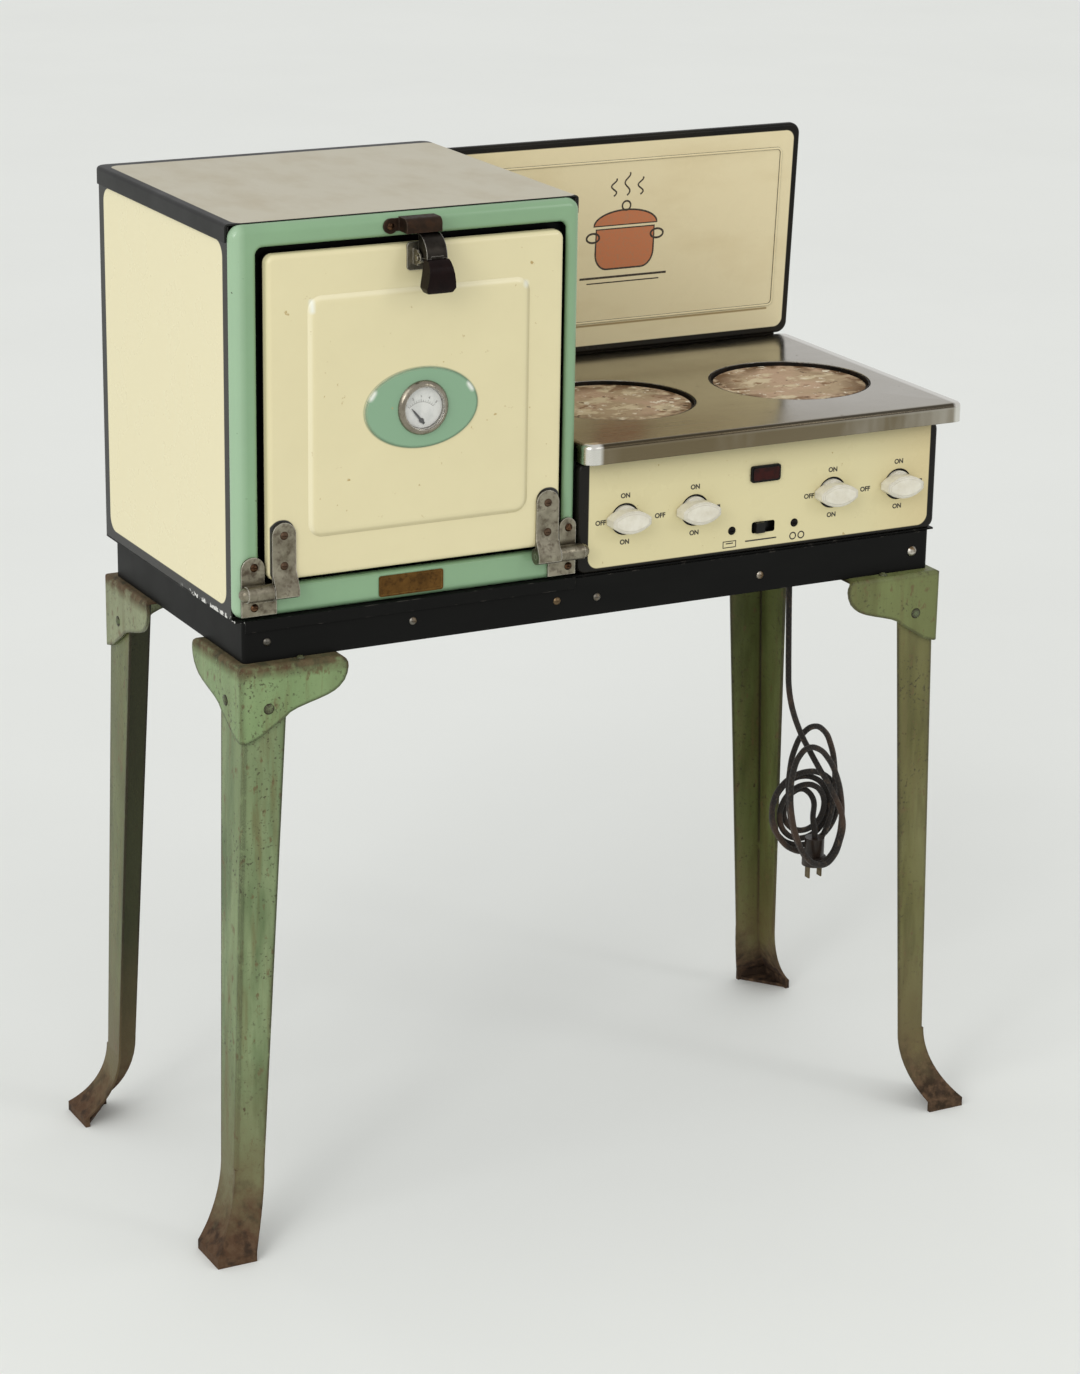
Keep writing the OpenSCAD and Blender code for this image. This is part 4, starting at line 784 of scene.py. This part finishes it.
def sharedFinishes():
    # finishes of the stand and of pieces that come in pairs or sets: material and the nodes' names
    wire = ("#97979A", "#7C7C7E", "#5A4C3D", 0.3)
    return [
        (apronEnamel(), ["apron_frame", "base_plate"]),
        # hinges, pins and latch plate: pale edges, worn bright metal with a painted highlight
        (oldMetal("pittedNickel", "#989280", "#696252", "#44352A", 0.32, 0.1, 0.6, edge="#CFCBBF", wearAndHighlightWidth=1.2),
         ["hinge_fixed_left", "hinge_fixed_right", "hinge_door_left", "hinge_door_right", "hinge_pins",
          "latch_plate", "latch_pin"]),
        (legPaint("greenLegPaint", "#71805A", "#84936B", "#586A45"), ["leg_front_left", "leg_rivets"]),
        (legPaint("oliveLegPaint", "#625F34", "#75734A", "#4B4726", "#332618"), ["leg_front_right"]),
        (legPaint("shadedLegPaint", "#595C38", "#6A7149", "#464A2A", shade=(0, -1, 0)), ["leg_rear_left"]),
        (legPaint("darkOliveLegPaint", "#5B6034", "#697142", "#4A4E26", "#2F2118"), ["leg_rear_right"]),
        (legPaint("greenBracketPaint", "#728A5B", "#83986A", "#67724C", ledge=True), ["bracket_front_left"]),
        (legPaint("fadedBracketPaint", "#7B855F", "#8C9270", "#6D7050", ledge=True), ["bracket_rear_left"]),
        (legPaint("oliveBracketPaint", "#676B41", "#727B4C", "#56542F"),
         ["bracket_front_right", "bracket_rear_right"]),
        (legPaint("paintedBolts", "#6E7753", "#7D8962", "#565A3A"), ["bracket_bolts"]),
        (oldMetal("dullSteelSheet", "#77787A", "#5C5D5E", "#4A4238", 0.42, 0.03, gapShadeFrom=linerGapShade["liner"]),
         ["oven_liner", "door_liner"]),
        (oldMetal("drawnWire", *wire), ["rack_upper"]), (oldMetal("drawnWireLower", *wire), ["rack_lower"]),
        (castPlate(), ["hotplate_left"]), (castPlate(), ["hotplate_right"]),
        (moulded("whiteUrea", "#E2DECF", "#D2CCB9", 0.24, soft=0.1), ["knob_1", "knob_2", "knob_3", "knob_4"]),
        (moulded("blackBakelite", "#12110F", "#1B1917", 0.28, shine=0.2),
         ["switch_bodies", "selector_button", "selector_switch"])]


def ownFinishes():
    # finishes of one node each
    return {
        "oven_back": enamel("blackBackEnamel", colours["black"]),
        "oven_shell": ovenShellEnamel(), "oven_lid": lidEnamel(), "oven_front_frame": frameEnamel(),
        "door_panel": doorEnamel(), "control_panel": panelEnamel(), "backsplash": splashEnamel(),
        "range_shell": rangeEnamel(), "stovetop": nickelSheet(), "case_screws": caseScrews(),
        "door_screws": oldMetal("rustyScrews", "#5E4B3B", "#4A392C", "#33241A", 0.5),
        # the lever's near-black face is a painted dark reflection, its pale edges a painted highlight
        "latch_lever": oldMetal("nickelLeverPaintedReflection", "#302C27", "#231F1B", "#1C1712", 0.3, edge="#C6C2B8", wearAndHighlightWidth=1.3),
        "latch_grip": moulded("redBrownBakelite", "#120908", "#1B0F0D", 0.24, 0.02, 1.6, shine=0.08),
        "latch_keeper": oldMetal("rustyKeeperSteel", "#3B2C22", "#2A211A", "#5B4232", 0.55, edge="#6E5F52"),
        "nameplate": oldMetal("brownedBrass", "#6E4E25", "#4F3617", "#2E2112", 0.45, edge="#8C6A38"),
        "oven_element": oldMetal("oxidisedElement", "#3B3836", "#2A2826", "#55402F", 0.55),
        # the bezel's pale edges are a painted highlight
        "gauge_case": oldMetal("gaugeNickel", "#979081", "#7D7668", "#4A4030", 0.2, 0.03, 0.25, edge="#D5D1C6",
                               wearAndHighlightWidth=1.0),
        "gauge_dial": dialEnamel(), "gauge_glass": windowGlass(),
        "gauge_needle": moulded("blackLacquer", "#0B0908", "#13100D", 0.4, shine=0.1),
        "element_pans": oldMetal("scorchedSteel", "#2C2825", "#1C1A18", "#4B3626", 0.6),
        "pilot_window": jewelWindow(), "lead_bushing": moulded("blackFibreBushing", "#1B1917", "#262320", 0.6),
        "plug_body": moulded("brownBakelitePlug", "#241B15", "#33271E", 0.35),
        "plug_prongs": oldMetal("dullBrassPins", "#6E6148", "#544A36", "#3A3022", 0.35)}


surface = {"weld": 0.002, "crease": 28}


def dressNodes():
    # the CAD meshes are loose triangles: weld and edge split give them smooth rounds and crisp edges
    finishes = {name: material for material, names in sharedFinishes() for name in names}
    finishes.update(ownFinishes())
    for name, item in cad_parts.items():
        if name in ("lead", "lead_hank"):
            continue
        item.data.materials.clear()
        item.data.materials.append(finishes[name])
        item.data.polygons.foreach_set("use_smooth", [True] * len(item.data.polygons))
        weld = item.modifiers.new("weld", "WELD")
        weld.merge_threshold = surface["weld"] * mm
        split = item.modifiers.new("creases", "EDGE_SPLIT")
        split.split_angle = math.radians(surface["crease"])


dressNodes()
print("materials on the CAD nodes")


# printed marks: lettering, dial figures and the backsplash design

lettering = {"fontPerLetter": 1.38, "bold": 0.05}


def printWords(words, place, size, turn=None, thick=0.06):
    # flat lettering that faces the front; place in mm, size is the letter height in mm
    bpy.ops.object.text_add(location=(0, 0, 0))
    item = bpy.context.active_object
    item.data.body = words
    item.data.align_x, item.data.align_y = "CENTER", "CENTER"
    item.data.size = size * mm * lettering["fontPerLetter"]
    item.data.extrude = thick * mm / 2
    item.data.offset = size * lettering["bold"] * mm
    select(item)
    bpy.ops.object.convert(target="MESH")
    item = bpy.context.active_object
    item.data.transform(Matrix.Rotation(math.pi / 2, 4, "X"))
    if turn:
        item.data.transform(Matrix.Rotation(-turn, 4, "Y"))
    item.data.transform(Matrix.Translation(Vector(place) * mm))
    return item


def printLine(points, width, thick=0.06, closed=False, filled=False):
    # a drawn stroke, or a filled outline, in the XZ plane about y 0, in mm
    curve = bpy.data.curves.new("stroke", "CURVE")
    curve.dimensions = "2D" if filled else "3D"
    spline = curve.splines.new("POLY")
    spline.points.add(len(points) - 1)
    for spot, (x, z) in zip(spline.points, points):
        spot.co = (x * mm, z * mm, 0, 1)
    spline.use_cyclic_u = closed
    if filled:
        curve.fill_mode, curve.extrude = "BOTH", thick * mm / 2
    else:
        curve.bevel_depth, curve.bevel_resolution = width * mm / 2, 1
        curve.use_fill_caps = True
    item = bpy.data.objects.new("stroke", curve)
    bpy.context.scene.collection.objects.link(item)
    select(item)
    bpy.ops.object.convert(target="MESH")
    item = bpy.context.active_object
    if not filled:
        item.data.transform(Matrix.Scale(thick / width, 4, (0, 0, 1)))
    item.data.transform(Matrix.Rotation(math.pi / 2, 4, "X"))
    return item


def ring(middle, wide, high, start=0, end=360, steps=40):
    return [(middle[0] + wide * math.cos(math.radians(start + (end - start) * k / steps)),
             middle[1] + high * math.sin(math.radians(start + (end - start) * k / steps))) for k in range(steps + 1)]


def moved(item, x=0, y=0, z=0):
    item.data.transform(Matrix.Translation(Vector((x, y, z)) * mm))
    return item


controls = {"knobs": [21, 86, 218, 283], "height": 572, "face": -131.56, "onOff": 19.4, "letter": 4,
            "offLeft": -22.5, "offRight": 32.5, "offDown": 1, "markRight": 22.5, "markUp": 1, "mark": (1.5, 2.2)}
selector = {"line": (150, 539.4), "lineHalf": 15, "lineWidth": 1.2,
            "square": (120, 538.6), "squareHalf": (6, 2.6), "stroke": 1.1, "shelf": (3.4, 0.8, 0.9),
            "discs": [(181, 538.8), (189, 538.8)], "discRadius": 2.8}


def printDash(half, height, width):
    return printLine([(-half, height), (half, height)], width)


def makePanelMarks():
    ink = printInk("blackPanelInk", "#2A261F")
    y, z = controls["face"], controls["height"]
    offHeight = z - controls["offDown"]
    marks = []
    for k, x in enumerate(controls["knobs"]):
        for side in (1, -1):
            marks.append(printWords("ON", (x, y, z + side * controls["onOff"]), controls["letter"]))
        if k % 2 == 0:
            for off in (controls["offLeft"], controls["offRight"]):
                marks.append(printWords("OFF", (x + off, y, offHeight), controls["letter"]))
        else:
            half, width = controls["mark"]
            marks.append(moved(printDash(half, 0, width), x + controls["markRight"], y, z + controls["markUp"]))
    # a line under the selector, between a small square and a pair of discs
    lineX, lineZ = selector["line"]
    marks.append(moved(printDash(selector["lineHalf"], 0, selector["lineWidth"]), lineX, y, lineZ))
    squareX, squareZ = selector["square"]
    wide, high = selector["squareHalf"]
    square = [(-wide, -high), (wide, -high), (wide, high), (-wide, high)]
    marks.append(moved(printLine(square, selector["stroke"], closed=True), squareX, y, squareZ))
    marks.append(moved(printDash(*selector["shelf"]), squareX, y, squareZ))
    radius = selector["discRadius"]
    for x, discZ in selector["discs"]:
        disc = printLine(ring((0, 0), radius, radius)[:-1], selector["stroke"], closed=True)
        marks.append(moved(disc, x, y, discZ))
    settle(joined(marks), "panelMarks", ink, "case")


dialMarks = {"pivot": (-167.7, 676), "face": -141.62, "out": 0.03, "inner": 14.6, "outer": 16.2, "longer": 0.6,
             "figures": 18.6, "figure": 2.0, "spread": 44, "steps": 12, "perFigure": 3, "thick": 0.04,
             "tickWidth": 0.35, "arcWidth": 0.3}


def makeDialMarks():
    ink = printInk("greyDialInk", "#6E6B62")
    x0, z0 = dialMarks["pivot"]
    y = dialMarks["face"] - dialMarks["out"]
    spread, inner, thick = dialMarks["spread"], dialMarks["inner"], dialMarks["thick"]
    marks = []
    for k in range(dialMarks["steps"] + 1):
        angle = math.radians(90 + spread - k * 2 * spread / dialMarks["steps"])
        figured = k % dialMarks["perFigure"] == 0
        outer = dialMarks["outer"] + (dialMarks["longer"] if figured else 0)
        ends = [(r * math.cos(angle), r * math.sin(angle)) for r in (inner, outer)]
        marks.append(moved(printLine(ends, dialMarks["tickWidth"], thick), x0, y, z0))
        if figured:
            far = dialMarks["figures"]
            place = (x0 + far * math.cos(angle), y, z0 + far * math.sin(angle))
            figure = str(k // dialMarks["perFigure"] + 1)
            marks.append(printWords(figure, place, dialMarks["figure"], angle - math.pi / 2, thick))
    arc = ring((0, 0), inner, inner, 90 - spread, 90 + spread)
    marks.append(moved(printLine(arc, dialMarks["arcWidth"], thick), x0, y, z0))
    settle(joined(marks), "dialMarks", ink, "door")


potPrint = {"middle": (7, 96), "scale": 1.2, "lean": 3.4, "foot": (158, 143, 639.9), "out": -0.05,
            "linesOut": 0.04, "orange": "#BF7449", "dark": "#33281C",
            "bellyTop": (24, 12), "bellyRound": ((14, -6), (10, 12)), "cover": ((0, 14.5), 26, 11),
            "outline": 1.3, "knobRing": ((0, 28.5), 3.4, 3.4), "handle": ((26.5, 6), (5.2, 3.4), 1.5),
            "steam": [(-11, 13), (0, 17), (11, 13)], "steamFrom": 36, "steamSway": (2.2, 0.7, 1.2),
            "shelfLines": [(36, -24, 1.6), (30, -28, 0.9)]}


def potOutline():
    # the belly's outline, with its lower corners rounded
    half, top = potPrint["bellyTop"]
    (middle, low), (wide, high) = potPrint["bellyRound"]
    return ([(-half, top), (half, top)] + ring((middle, low), wide, high, 0, -90, 10)
            + ring((-middle, low), wide, high, -90, -180, 10))


def potCover():
    return ring(*potPrint["cover"], 0, 180, 24)


def potLines():
    # the dark strokes: belly, cover, its ring, two handles, steam and two lines under the pot
    lines = [printLine(shape, potPrint["outline"], closed=True) for shape in (potOutline(), potCover())]
    lines.append(printLine(ring(*potPrint["knobRing"]), potPrint["outline"]))
    (handleX, handleZ), (wide, high), stroke = potPrint["handle"]
    for side in (-1, 1):
        lines.append(printLine(ring((side * handleX, handleZ), wide, high), stroke))
    sway, pace, stroke = potPrint["steamSway"]
    for x, tall in potPrint["steam"]:
        wisp = [(x + sway * math.sin(s * pace), potPrint["steamFrom"] + tall * s / 12) for s in range(13)]
        lines.append(printLine(wisp, stroke))
    return lines + [printDash(*line) for line in potPrint["shelfLines"]]


def makeSplashDesign():
    # a plain covered pot with rising steam, printed in brown and orange
    x, z = potPrint["middle"]
    scale, out = potPrint["scale"], potPrint["out"]
    upright = (Matrix.Translation(Vector(potPrint["foot"]) * mm)
               @ Matrix.Rotation(math.radians(potPrint["lean"]), 4, "X"))
    dark, orange = printInk("brownSplashInk", potPrint["dark"]), printInk("orangeSplashInk", potPrint["orange"])
    fills = [printLine(shape, 1, 0.05, True, True) for shape in (potOutline(), potCover())]
    for name, material, parts, depth in (("splashPotFill", orange, fills, out),
                                         ("splashPotLines", dark, potLines(), out - potPrint["linesOut"])):
        item = joined(parts)
        item.data.transform(Matrix.Diagonal((scale, 1, scale, 1)))
        moved(item, x, depth, z)
        item.data.transform(upright)
        settle(item, name, material, "case")


makePanelMarks()
makeDialMarks()
makeSplashDesign()
print("printed marks")


print("finished")
